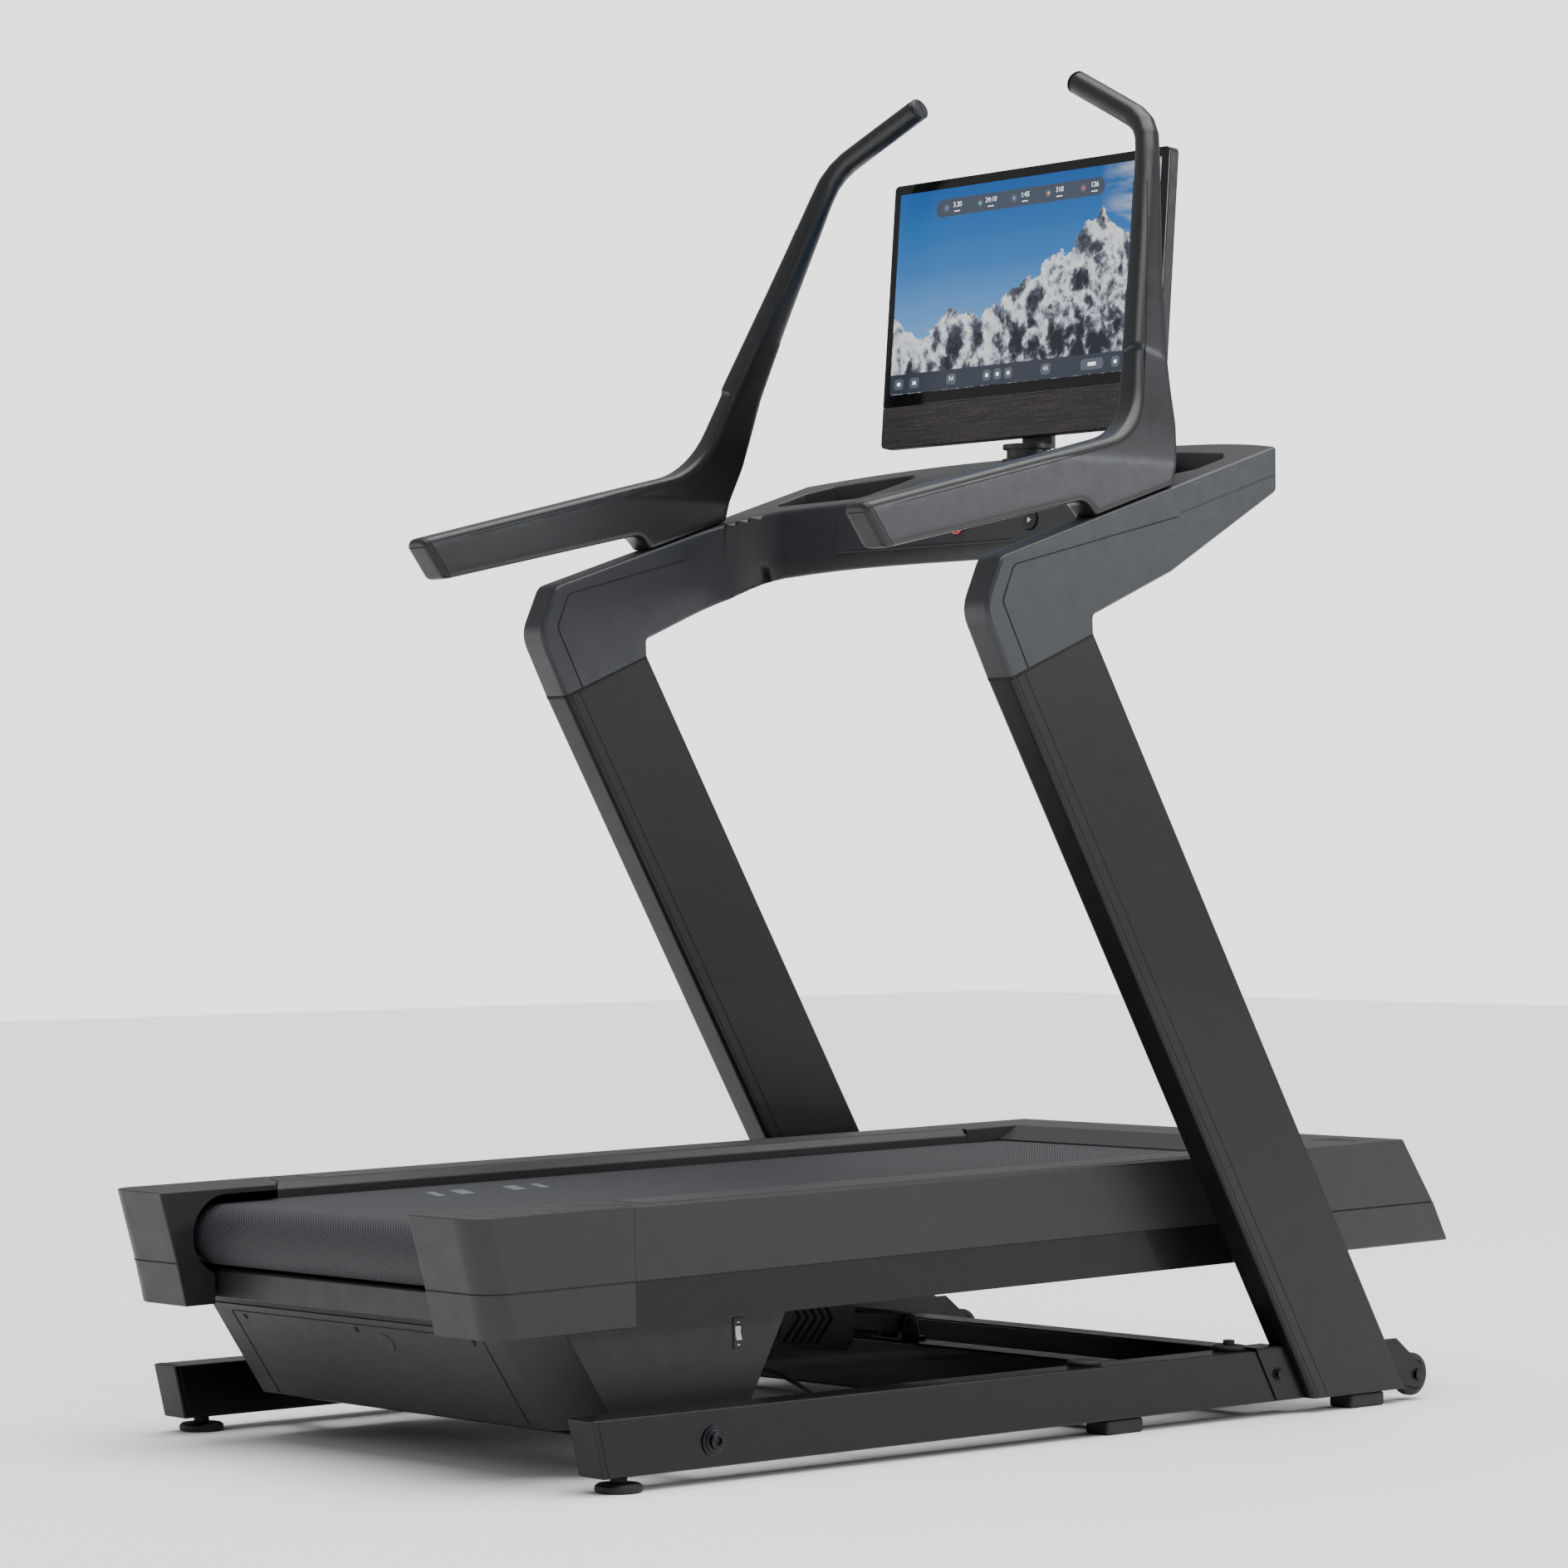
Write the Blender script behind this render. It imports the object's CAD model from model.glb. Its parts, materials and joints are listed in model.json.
"""Looks of the incline treadmill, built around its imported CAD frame.

Frame: +Y is the front (console end), +X the user's right, +Z up, the floor at z = 0. Metres."""

import json
import math

import bmesh
import bpy
from mathutils import Matrix, Vector
from mathutils.bvhtree import BVHTree

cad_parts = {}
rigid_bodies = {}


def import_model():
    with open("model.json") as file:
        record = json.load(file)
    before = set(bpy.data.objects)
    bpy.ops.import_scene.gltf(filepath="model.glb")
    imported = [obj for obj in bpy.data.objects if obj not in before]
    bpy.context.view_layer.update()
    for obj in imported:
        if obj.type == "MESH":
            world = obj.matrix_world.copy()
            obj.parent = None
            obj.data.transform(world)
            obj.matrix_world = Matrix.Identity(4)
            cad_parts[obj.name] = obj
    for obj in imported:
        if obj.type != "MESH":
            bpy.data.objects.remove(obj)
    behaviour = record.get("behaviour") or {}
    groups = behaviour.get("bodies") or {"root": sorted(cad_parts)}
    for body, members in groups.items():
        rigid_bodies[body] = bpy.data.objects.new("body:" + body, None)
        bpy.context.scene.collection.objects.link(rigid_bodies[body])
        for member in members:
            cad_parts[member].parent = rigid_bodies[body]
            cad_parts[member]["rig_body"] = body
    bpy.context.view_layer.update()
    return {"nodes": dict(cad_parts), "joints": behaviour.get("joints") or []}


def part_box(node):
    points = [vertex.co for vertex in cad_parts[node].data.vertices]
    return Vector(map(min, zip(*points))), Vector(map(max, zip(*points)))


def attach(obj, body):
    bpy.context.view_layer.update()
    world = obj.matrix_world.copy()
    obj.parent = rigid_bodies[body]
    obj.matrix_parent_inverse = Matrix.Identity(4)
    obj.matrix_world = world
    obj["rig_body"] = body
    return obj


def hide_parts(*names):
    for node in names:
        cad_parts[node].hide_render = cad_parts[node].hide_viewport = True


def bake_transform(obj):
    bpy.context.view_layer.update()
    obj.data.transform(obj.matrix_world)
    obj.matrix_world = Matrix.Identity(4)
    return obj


for old in list(bpy.data.objects):
    bpy.data.objects.remove(old)

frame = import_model()
NODES = frame["nodes"]
JOINTS = {joint["name"]: joint for joint in frame["joints"]}

# Camera
CAMERA_AT = (4.9426, -4.4863, 0.7774)
CAMERA_YAW = math.radians(48.041)
CAMERA_PITCH = math.radians(0.762)
CAMERA_ROLL = math.radians(-0.255)
CAMERA_LENS = 111.35

# Running deck: its own frame stands on the incline pivot, tilted with the deck
PIVOT = Vector(JOINTS["incline"]["pos_m"])
DECK_TILT = math.radians(0.78)
DECK = Matrix.Translation(PIVOT) @ Matrix.Rotation(DECK_TILT, 4, "X")
HOOD_TOP_SET = 0.0637        # the hood's upper edge stands this far behind its seam
HOOD_LOW_SET = 0.0312
CAP_CORNER_R = 0.0360
CAP_MOUTH_R = 0.0530
CAP_LEAN = 0.0257            # the cap's rear face leans back over its height
CAP_LOW_LEAN = 0.0132

CAP_WALL_Y = 0.0600          # the caps are hollow from here forward
RAIL_INNER_X = 0.3375
RAIL_OUTER_X = 0.3788
RAIL_TOP_Z = 0.1928
COVER_OUTER_X = 0.3830
COVER_INNER_X = 0.2850
BELT_T = 0.0025
WEAVE_PITCH = 0.0052
BELLY_LEAN = 0.0820          # the tub's rear face runs forward by this over its height
BELLY_FACET = 0.0650

# Uprights and console
POST_LEAN = math.radians(30.57)
POST_REAR_FOOT = 0.5010
RAIL_SLANT = 0.0175
TOP_SLOPE = 0.3210
UNDER_SLOPE = 0.5640
ARM_REAR_LOW = (-0.1230, 1.0850)
ARM_REAR_HIGH = (-0.0910, 1.1550)
ARM_INNER_CORNER = (0.0790, 1.0820)
ARM_UNDER_REAR = (0.2300, 1.1450)
JOINT_REAR_Z = 0.9970
JOINT_FRONT_Z = 1.0590
CONSOLE_SIDE_Y = 0.4360
CONSOLE_BOW = 0.0740
PANEL_SIDE_Y = 0.2470
PANEL_BOW = 0.0400
PANEL_LEAN = math.radians(6.6)
LIP_H = 0.0240               # the band under the panel, which leans under
LIP_SET = 0.34
TRAY = [(0.238, 0.325), (0.400, 0.312), (0.424, 0.330), (0.424, 0.385), (0.395, 0.417), (0.262, 0.452),
    (0.236, 0.432)]
TRAY_DEPTH = 0.0325

# Display
DISPLAY_LEAN = math.radians(4.84)
PICTURE_W = 0.5310
PICTURE_H = 0.2990
PICTURE_LOW = 0.0180         # above the speaker bar
SPEAKER_H = 0.0610
DISPLAY_DEPTH = 0.0300
READING_PROUD = 0.0007       # the readings stand this far in front of the picture

# Handles: centre line of the leaning grip and its half depth
GRIP = [
    (0.4125, 0.2420, 1.4400, 0.0180, 0.0300),
    (0.3742, 0.2868, 1.5800, 0.0175, 0.0225),
    (0.3440, 0.3225, 1.6900, 0.0172, 0.0182),
    (0.3330, 0.3350, 1.7300, 0.0171, 0.0174),
    (0.3240, 0.3435, 1.7560, 0.0170, 0.0171),
    (0.3110, 0.3500, 1.7740, 0.0170, 0.0170),
    (0.2930, 0.3545, 1.7875, 0.0170, 0.0170),
    (0.2500, 0.3608, 1.8090, 0.0170, 0.0170),
    (0.1620, 0.3730, 1.8520, 0.0170, 0.0170),
]

# The cable's route from the tub's floor to the rail's inner wall
HARNESS_ROUTE = [
    (0.235, -0.395, 0.1220), (0.250, -0.362, 0.1180), (0.268, -0.332, 0.1085), (0.290, -0.316, 0.1010),
    (0.315, -0.309, 0.0910), (0.340, -0.300, 0.0790), (0.368, -0.285, 0.0690), (0.392, -0.262, 0.0640),
    (0.4080, -0.240, 0.0620),
]
HARNESS_R = 0.0032


# ---------------------------------------------------------------- materials

def new_material(name, color, roughness, metallic=0.0, coat=0.0, specular=0.5):
    """A Principled material, its node tree and its shader."""
    made = bpy.data.materials.new(name)
    made.use_nodes = True
    tree = made.node_tree
    shader = tree.nodes["Principled BSDF"]
    shader.inputs["Base Color"].default_value = (*color, 1.0)
    shader.inputs["Roughness"].default_value = roughness
    shader.inputs["Metallic"].default_value = metallic
    shader.inputs["Coat Weight"].default_value = coat
    shader.inputs["Specular IOR Level"].default_value = specular
    return made, tree, shader


def place(tree, kind="Object", stretch=(1.0, 1.0, 1.0)):
    """A coordinate output, stretched."""
    source = tree.nodes.new("ShaderNodeTexCoord")
    mapping = tree.nodes.new("ShaderNodeMapping")
    mapping.inputs["Scale"].default_value = stretch
    tree.links.new(source.outputs[kind], mapping.inputs["Vector"])
    return mapping.outputs["Vector"]


def noise(tree, vector, scale, detail=3.0, roughness=0.5, kind="FBM"):
    """A noise texture's node."""
    made = tree.nodes.new("ShaderNodeTexNoise")
    made.noise_type = kind
    made.inputs["Scale"].default_value = scale
    made.inputs["Detail"].default_value = detail
    made.inputs["Roughness"].default_value = roughness
    tree.links.new(vector, made.inputs["Vector"])
    return made


def remap(tree, value, low, high, new_low, new_high):
    """A value mapped from one range to another, clamped."""
    made = tree.nodes.new("ShaderNodeMapRange")
    for name, number in (("From Min", low), ("From Max", high), ("To Min", new_low), ("To Max", new_high)):
        made.inputs[name].default_value = number
    tree.links.new(value, made.inputs["Value"])
    return made.outputs["Result"]


def ramp(tree, value, stops):
    """A colour ramp with the given (position, colour) stops."""
    made = tree.nodes.new("ShaderNodeValToRGB")
    line = made.color_ramp
    while len(line.elements) > 1:
        line.elements.remove(line.elements[-1])
    line.elements[0].position = stops[0][0]
    line.elements[0].color = (*stops[0][1], 1.0)
    for position, color in stops[1:]:
        line.elements.new(position).color = (*color, 1.0)
    tree.links.new(value, made.inputs["Fac"])
    return made.outputs["Color"]


def math_node(tree, operation, first, second):
    """A math node; each input is a number or an output."""
    made = tree.nodes.new("ShaderNodeMath")
    made.operation = operation
    for socket, given in zip(made.inputs, (first, second)):
        if isinstance(given, (int, float)):
            socket.default_value = given
        else:
            tree.links.new(given, socket)
    return made.outputs["Value"]


def mix(tree, share, first, second):
    """A colour mix; share is an output, and the colours are tuples or outputs."""
    made = tree.nodes.new("ShaderNodeMix")
    made.data_type = "RGBA"
    tree.links.new(share, made.inputs["Factor"])
    for socket, given in ((made.inputs[6], first), (made.inputs[7], second)):
        if isinstance(given, tuple):
            socket.default_value = (*given, 1.0)
        else:
            tree.links.new(given, socket)
    return made.outputs[2]


def bump(tree, shader, height, strength, distance):
    """Bump from a height output into the shader's normal."""
    made = tree.nodes.new("ShaderNodeBump")
    made.inputs["Strength"].default_value = strength
    made.inputs["Distance"].default_value = distance
    tree.links.new(height, made.inputs["Height"])
    tree.links.new(made.outputs["Normal"], shader.inputs["Normal"])


def moulded(name, color, lighter, roughness, grain=900.0, strength=0.25, coat=0.0, specular=0.5):
    """Moulded or coated stock: fine grain, and slow changes of tone and gloss."""
    made, tree, shader = new_material(name, color, roughness, 0.0, coat, specular)
    where = place(tree)
    slow = noise(tree, where, 4.0, 4.0, 0.6)
    tone = mix(tree, slow.outputs["Fac"], color, lighter)
    tree.links.new(tone, shader.inputs["Base Color"])
    fine = noise(tree, where, grain, 2.0, 0.6)
    mid = noise(tree, where, 38.0, 5.0, 0.65)
    gloss = remap(tree, mid.outputs["Fac"], 0.3, 0.7, roughness - 0.05, roughness + 0.06)
    tree.links.new(gloss, shader.inputs["Roughness"])
    bump(tree, shader, fine.outputs["Fac"], strength, 0.0002)
    return made


def woven_belt():
    """Belt fabric: small lozenges in rows on the belt's own surface coordinates."""
    made, tree, shader = new_material("belt_weave", (0.030, 0.033, 0.038), 0.62, specular=0.35)
    where = place(tree, "UV")
    split = tree.nodes.new("ShaderNodeSeparateXYZ")
    tree.links.new(where, split.inputs["Vector"])
    pitch = 2 * math.pi / WEAVE_PITCH
    across = math_node(tree, "SINE", math_node(tree, "MULTIPLY", split.outputs["X"], pitch), 0.0)
    along = math_node(tree, "SINE", math_node(tree, "MULTIPLY", split.outputs["Y"], pitch), 0.0)
    weave = math_node(tree, "MULTIPLY", across, along)
    worn = noise(tree, where, 14.0, 5.0, 0.6)
    base = ramp(tree, remap(tree, weave, -1.0, 1.0, 0.0, 1.0), [
        (0.25, (0.005, 0.0055, 0.007)), (0.62, (0.020, 0.022, 0.026)), (0.90, (0.085, 0.090, 0.100))])
    tree.links.new(mix(tree, remap(tree, worn.outputs["Fac"], 0.3, 0.7, 0.0, 0.25), base,
        (0.018, 0.019, 0.023)),
                   shader.inputs["Base Color"])
    bump(tree, shader, weave, 0.6, 0.0005)
    return made


def picture():
    """The screen's picture: blue sky over a snowy range, worked out from noise."""
    made, tree, shader = new_material("screen_picture", (0.0, 0.0, 0.0), 0.18, specular=0.2)
    source = tree.nodes.new("ShaderNodeTexCoord")
    split = tree.nodes.new("ShaderNodeSeparateXYZ")
    tree.links.new(source.outputs["UV"], split.inputs["Vector"])
    u, v = split.outputs["X"], split.outputs["Y"]
    wide = place(tree, "UV", (1.78, 1.0, 1.0))

    def grey(level):
        """A colour of equal parts."""
        return (level, level, level)

    base = ramp(tree, u, [
        (0.0, grey(0.40)), (0.10, grey(0.26)), (0.22, grey(0.40)), (0.34, grey(0.36)), (0.48, grey(0.48)),
        (0.62, grey(0.58)), (0.72, grey(0.68)), (0.79, grey(0.79)), (0.85, grey(0.70)), (1.0, grey(0.56))])
    rough = noise(tree, wide, 9.0, 10.0, 0.60)
    crest = math_node(tree, "ADD", base, remap(tree, rough.outputs["Fac"], 0.25, 0.75, -0.075, 0.06))
    hill = remap(tree, math_node(tree, "SUBTRACT", crest, v), -0.003, 0.003, 0.0, 1.0)
    sky = ramp(tree, v, [(0.25, (0.19, 0.42, 0.80)), (0.60, (0.055, 0.22, 0.58)), (1.0, (0.022, 0.12, 0.42))])
    cloud = noise(tree, place(tree, "UV", (1.2, 2.4, 1.0)), 3.2, 8.0, 0.6)
    east = remap(tree, u, 0.78, 0.98, 0.0, 1.0)
    veil = math_node(tree, "MULTIPLY", east, remap(tree, cloud.outputs["Fac"], 0.42, 0.62, 0.0, 1.0))
    sky = mix(tree, veil, sky, (0.78, 0.83, 0.90))
    tilted = place(tree, "UV", (3.4, 1.5, 1.0))
    tilted.node.inputs["Rotation"].default_value = (0.0, 0.0, math.radians(34))
    warp = noise(tree, wide, 5.0, 4.0, 0.6)
    bent = tree.nodes.new("ShaderNodeVectorMath")
    bent.operation = "MULTIPLY_ADD"
    tree.links.new(warp.outputs["Color"], bent.inputs[0])
    bent.inputs[1].default_value = (0.16, 0.16, 0.0)
    tree.links.new(tilted, bent.inputs[2])
    crag = noise(tree, bent.outputs["Vector"], 4.2, 12.0, 0.62, "RIDGED_MULTIFRACTAL")
    crag.inputs["Offset"].default_value = 0.9
    crag.inputs["Gain"].default_value = 1.8
    grit = noise(tree, wide, 34.0, 8.0, 0.75)
    snow = math_node(tree, "ADD", remap(tree, crag.outputs["Fac"], 0.3, 1.9, -0.42, 0.42),
                     remap(tree, grit.outputs["Fac"], 0.3, 0.7, -0.20, 0.20))
    high = remap(tree, math_node(tree, "SUBTRACT", crest, v), 0.0, 0.45, 0.24, -0.16)
    snow = math_node(tree, "ADD", math_node(tree, "ADD", snow, high), 0.46)
    stone = ramp(tree, snow, [
        (0.10, (0.030, 0.033, 0.045)), (0.30, (0.085, 0.092, 0.115)), (0.44, (0.21, 0.23, 0.28)),
        (0.56, (0.46, 0.50, 0.57)), (0.70, (0.78, 0.82, 0.88)), (0.92, (0.96, 0.97, 1.0))])
    scene_color = mix(tree, hill, sky, stone)
    tree.links.new(scene_color, shader.inputs["Emission Color"])
    shader.inputs["Emission Strength"].default_value = 0.95
    return made


def glowing(name, color, strength):
    """A lit mark on the screen, with a trace of grain."""
    made, tree, shader = new_material(name, color, 0.3)
    grain = noise(tree, place(tree), 600.0)
    tone = remap(tree, grain.outputs["Fac"], 0.0, 1.0, strength * 0.92, strength)
    shader.inputs["Emission Color"].default_value = (*color, 1.0)
    tree.links.new(tone, shader.inputs["Emission Strength"])
    return made


def speaker_weave():
    """The speaker bar's brown-grey cloth: long streaks across, fine threads."""
    made, tree, shader = new_material("speaker_weave", (0.055, 0.047, 0.048), 0.7)
    streak = noise(tree, place(tree, "Object", (14.0, 14.0, 900.0)), 1.0, 4.0, 0.7)
    thread = noise(tree, place(tree, "Object", (240.0, 240.0, 1500.0)), 1.0, 2.0, 0.6)
    both = math_node(tree, "MULTIPLY", streak.outputs["Fac"], thread.outputs["Fac"])
    tone = ramp(tree, both, [
        (0.14, (0.008, 0.0065, 0.0075)), (0.26, (0.030, 0.024, 0.027)), (0.40, (0.090, 0.074, 0.080))])
    tree.links.new(tone, shader.inputs["Base Color"])
    bump(tree, shader, both, 0.6, 0.0006)
    return made


def brushed(name, color, roughness, stretch):
    """Turned or drawn metal with fine lines along it."""
    made, tree, shader = new_material(name, color, roughness, 1.0)
    lines = noise(tree, place(tree, "Object", stretch), 1.0, 3.0, 0.6)
    tree.links.new(remap(tree, lines.outputs["Fac"], 0.3, 0.7, roughness - 0.08, roughness + 0.12),
                   shader.inputs["Roughness"])
    bump(tree, shader, lines.outputs["Fac"], 0.15, 0.0001)
    return made


def board_face():
    """The waxed fibreboard under the belt."""
    made, tree, shader = new_material("deck_board_face", (0.022, 0.018, 0.015), 0.5)
    fibres = noise(tree, place(tree, "Object", (60.0, 12.0, 60.0)), 6.0, 6.0, 0.7)
    tone = ramp(tree, fibres.outputs["Fac"], [(0.35, (0.014, 0.011, 0.009)), (0.65, (0.034, 0.028, 0.023))])
    tree.links.new(tone, shader.inputs["Base Color"])
    bump(tree, shader, fibres.outputs["Fac"], 0.3, 0.0004)
    return made


def ribbed_strip():
    """The foot rail's anti-slip strip: ribs along its length, 2.6 mm apart."""
    made, tree, shader = new_material("ribbed_strip", (0.050, 0.054, 0.061), 0.45)
    split = tree.nodes.new("ShaderNodeSeparateXYZ")
    tree.links.new(place(tree), split.inputs["Vector"])
    ribs = math_node(tree, "SINE", math_node(tree, "MULTIPLY", split.outputs["X"], 2 * math.pi / 0.0026), 0.0)
    tone = ramp(tree, remap(tree, ribs, -1.0, 1.0, 0.0, 1.0),
        [(0.2, (0.006, 0.0065, 0.0075)), (0.8, (0.032, 0.034, 0.039))])
    tree.links.new(tone, shader.inputs["Base Color"])
    bump(tree, shader, ribs, 0.6, 0.0005)
    return made


CHARCOAL = moulded("charcoal_mould", (0.0144, 0.0162, 0.0198), (0.0187, 0.0209, 0.0252), 0.44)
HOOD_SKIN = moulded("hood_mould", (0.0068, 0.0084, 0.0109), (0.0087, 0.0105, 0.0133), 0.44)
GRIP_SKIN = moulded("grip_skin", (0.0073, 0.0084, 0.0101), (0.0101, 0.0112, 0.0133), 0.34, 1100.0, 0.10)
COVER = moulded("cover_mould", (0.0101, 0.0104, 0.0117), (0.0129, 0.0133, 0.0148), 0.46, specular=0.44)
STEEL = moulded(
    "powder_coat", (0.0026, 0.0026, 0.0032), (0.0039, 0.0039, 0.0044), 0.36, 520.0, 0.25, 0.08, 0.24)
POST_COAT = moulded(
    "post_coat", (0.0035, 0.0037, 0.0045), (0.0050, 0.0052, 0.0061), 0.38, 620.0, 0.18, 0.06, 0.3)
DARK = moulded("dark_mould", (0.0090, 0.0092, 0.0100), (0.0130, 0.0132, 0.0142), 0.46, specular=0.42)
BELLY = moulded("belly_mould", (0.0100, 0.0100, 0.0115), (0.0135, 0.0135, 0.0150), 0.48, specular=0.44)
RUBBER = moulded("rubber_mould", (0.0055, 0.0055, 0.0062), (0.0090, 0.0090, 0.0098), 0.68, 700.0, 0.4)
SEAM = moulded("seam_shadow", (0.0015, 0.0015, 0.0018), (0.0028, 0.0028, 0.0032), 0.85)
GLASS = moulded("bezel_gloss", (0.0020, 0.0022, 0.0028), (0.0030, 0.0032, 0.0038), 0.10, 20.0, 0.0, 0.15)
BELT = woven_belt()
RIBS = ribbed_strip()
PICTURE = picture()
SPEAKER = speaker_weave()
BARE = brushed("turned_steel", (0.55, 0.55, 0.57), 0.30, (900.0, 20.0, 20.0))
BOLT = brushed("blackened_bolt", (0.030, 0.030, 0.033), 0.38, (200.0, 200.0, 200.0))
BOARD = board_face()
RED = moulded("red_gloss", (0.50, 0.012, 0.014), (0.56, 0.020, 0.022), 0.30, 500.0, 0.1, 0.4)
LIGHT = moulded("light_gloss", (0.56, 0.57, 0.56), (0.64, 0.65, 0.64), 0.32, 500.0, 0.1, 0.3)
MARK = moulded("belt_mark", (0.0880, 0.1045, 0.1155), (0.1100, 0.1265, 0.1375), 0.6)


# ---------------------------------------------------------------- mesh helpers

def linked(name, data):
    """A new object, linked into the scene."""
    made = bpy.data.objects.new(name, data)
    bpy.context.scene.collection.objects.link(made)
    return made


def baked(made):
    """The evaluated mesh of an object; the object is removed."""
    graph = bpy.context.evaluated_depsgraph_get()
    mesh = bpy.data.meshes.new_from_object(made.evaluated_get(graph))
    bpy.data.objects.remove(made)
    return mesh


def finish_piece(made, look, body, nodes=()):
    """Material, body, record slot and the CAD nodes it stands for."""
    made.data.materials.clear()
    made.data.materials.append(look)
    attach(made, body)
    if nodes:
        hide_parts(*nodes)
    return made


def piece(name, bm, look, body, nodes=(), sharp=38, weighted=True):
    """A finished piece from a bmesh."""
    bmesh.ops.recalc_face_normals(bm, faces=bm.faces[:])
    mesh = bpy.data.meshes.new(name)
    bm.to_mesh(mesh)
    bm.free()
    mesh.shade_smooth()
    mesh.set_sharp_from_angle(angle=math.radians(sharp))
    made = linked(name, mesh)
    if weighted:
        change = made.modifiers.new("normals", "WEIGHTED_NORMAL")
        change.keep_sharp = True
    return finish_piece(made, look, body, nodes)


def prism(outline, low, high, axis="X"):
    """An outline extruded along an axis: (y, z) for X, (x, z) for Y, (x, y) for Z."""
    put = {
        "X": lambda a, b, t: (t, a, b),
        "Y": lambda a, b, t: (a, t, b),
        "Z": lambda a, b, t: (a, b, t),
    }[axis]
    bm = bmesh.new()
    face = bm.faces.new([bm.verts.new(put(a, b, low)) for a, b in outline])
    grown = bmesh.ops.extrude_face_region(bm, geom=[face])["geom"]
    verts = [item for item in grown if isinstance(item, bmesh.types.BMVert)]
    bmesh.ops.translate(bm, verts=verts, vec=Vector(put(0.0, 0.0, high - low)))
    bmesh.ops.recalc_face_normals(bm, faces=bm.faces[:])
    return bm


def block(low, high):
    """A box between two corners."""
    bm = bmesh.new()
    size, middle = Vector(high) - Vector(low), (Vector(high) + Vector(low)) / 2
    bmesh.ops.create_cube(bm, size=1.0, matrix=Matrix.Translation(middle) @ Matrix.Diagonal((*size, 1.0)))
    return bm


def rod(start, end, radius, sides=32):
    """A straight bar of that many sides between two points."""
    start, end = Vector(start), Vector(end)
    along = end - start
    bm = bmesh.new()
    bmesh.ops.create_cone(
        bm, cap_ends=True, segments=sides, radius1=radius, radius2=radius, depth=along.length,
        matrix=Matrix.Translation((start + end) / 2) @ along.to_track_quat("Z", "Y").to_matrix().to_4x4())
    return bm


def soften(bm, width, segments=3, angle=30.0, pick=None, clamp=True):
    """Rounds the convex edges sharper than the angle, or those of them that pick keeps."""
    bmesh.ops.remove_doubles(bm, verts=bm.verts[:], dist=1e-5)
    bmesh.ops.recalc_face_normals(bm, faces=bm.faces[:])
    limit = math.radians(angle)
    edges = [
        edge for edge in bm.edges if edge.is_manifold and edge.is_convex and
        edge.calc_face_angle(0.0) > limit and (pick is None or pick(edge))]
    bmesh.ops.bevel(bm, geom=edges, offset=width, segments=segments, affect="EDGES", profile=0.5,
        clamp_overlap=clamp)
    return bm


def merged(*parts):
    """One bmesh that holds several."""
    whole = parts[0]
    for part in parts[1:]:
        mesh = bpy.data.meshes.new("part")
        part.to_mesh(mesh)
        part.free()
        whole.from_mesh(mesh)
        bpy.data.meshes.remove(mesh)
    return whole


def turned(profile, start, along, sides=40):
    """A profile of (distance along, radius) turned about an axis."""
    start, along = Vector(start), Vector(along).normalized()
    side = along.orthogonal().normalized()
    other = along.cross(side)
    bm = bmesh.new()
    rings = []
    for reach, radius in profile:
        centre = start + along * reach
        rings.append([
            bm.verts.new(centre + (side * math.cos(t) + other * math.sin(t)) * radius)
            for t in (2 * math.pi * k / sides for k in range(sides))])
    for lower, upper in zip(rings, rings[1:]):
        for k in range(sides):
            n = (k + 1) % sides
            bm.faces.new((lower[k], lower[n], upper[n], upper[k]))
    bm.faces.new(list(reversed(rings[0])))
    bm.faces.new(rings[-1])
    return bm


def loft(rings):
    """A skin through closed rings of equal counts, capped at both ends."""
    bm = bmesh.new()
    rows = [[bm.verts.new(point) for point in ring] for ring in rings]
    for lower, upper in zip(rows, rows[1:]):
        for k in range(len(lower)):
            n = (k + 1) % len(lower)
            bm.faces.new((lower[k], lower[n], upper[n], upper[k]))
    bm.faces.new(rows[0])
    bm.faces.new(rows[-1])
    bmesh.ops.recalc_face_normals(bm, faces=bm.faces[:])
    return bm


def rounded(corners, radius, steps=6):
    """A closed outline with each corner (a, b) or (a, b, its own radius) rounded."""
    made = []
    for i, corner in enumerate(corners):
        here = Vector(corner[:2])
        back = Vector(corners[i - 1][:2]) - here
        ahead = Vector(corners[(i + 1) % len(corners)][:2]) - here
        own = corner[2] if len(corner) > 2 else radius
        if own == 0 or abs(math.pi - back.angle(ahead)) < 0.02:
            made.append((here.x, here.y))
            continue
        half = back.angle(ahead) / 2
        reach = min(own / math.tan(half), 0.48 * back.length, 0.48 * ahead.length)
        own = reach * math.tan(half)
        centre = here + (back.normalized() + ahead.normalized()).normalized() * own / math.sin(half)
        first = here + back.normalized() * reach - centre
        last = here + ahead.normalized() * reach - centre
        sweep = first.angle_signed(last)
        for k in range(steps + 1):
            turn = Matrix.Rotation(-sweep * k / steps, 2)
            point = centre + turn @ first
            made.append((point.x, point.y))
    return made


def seam(name, lines, body, radius=0.0007, look=None):
    """Thin lines that read as parting seams and grooves."""
    curve = bpy.data.curves.new(name, "CURVE")
    curve.dimensions = "3D"
    curve.bevel_depth = radius
    curve.bevel_resolution = 1
    curve.use_fill_caps = True
    for line in lines:
        spline = curve.splines.new("POLY")
        spline.points.add(len(line) - 1)
        for point, where in zip(spline.points, line):
            point.co = (*where, 1.0)
    mesh = baked(linked(name, curve))
    mesh.shade_smooth()
    return finish_piece(linked(name, mesh), look or SEAM, body)


def applied(made):
    """A bmesh of the object with its modifiers applied; the object is removed."""
    mesh = baked(made)
    bm = bmesh.new()
    bm.from_mesh(mesh)
    bpy.data.meshes.remove(mesh)
    return bm


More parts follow.
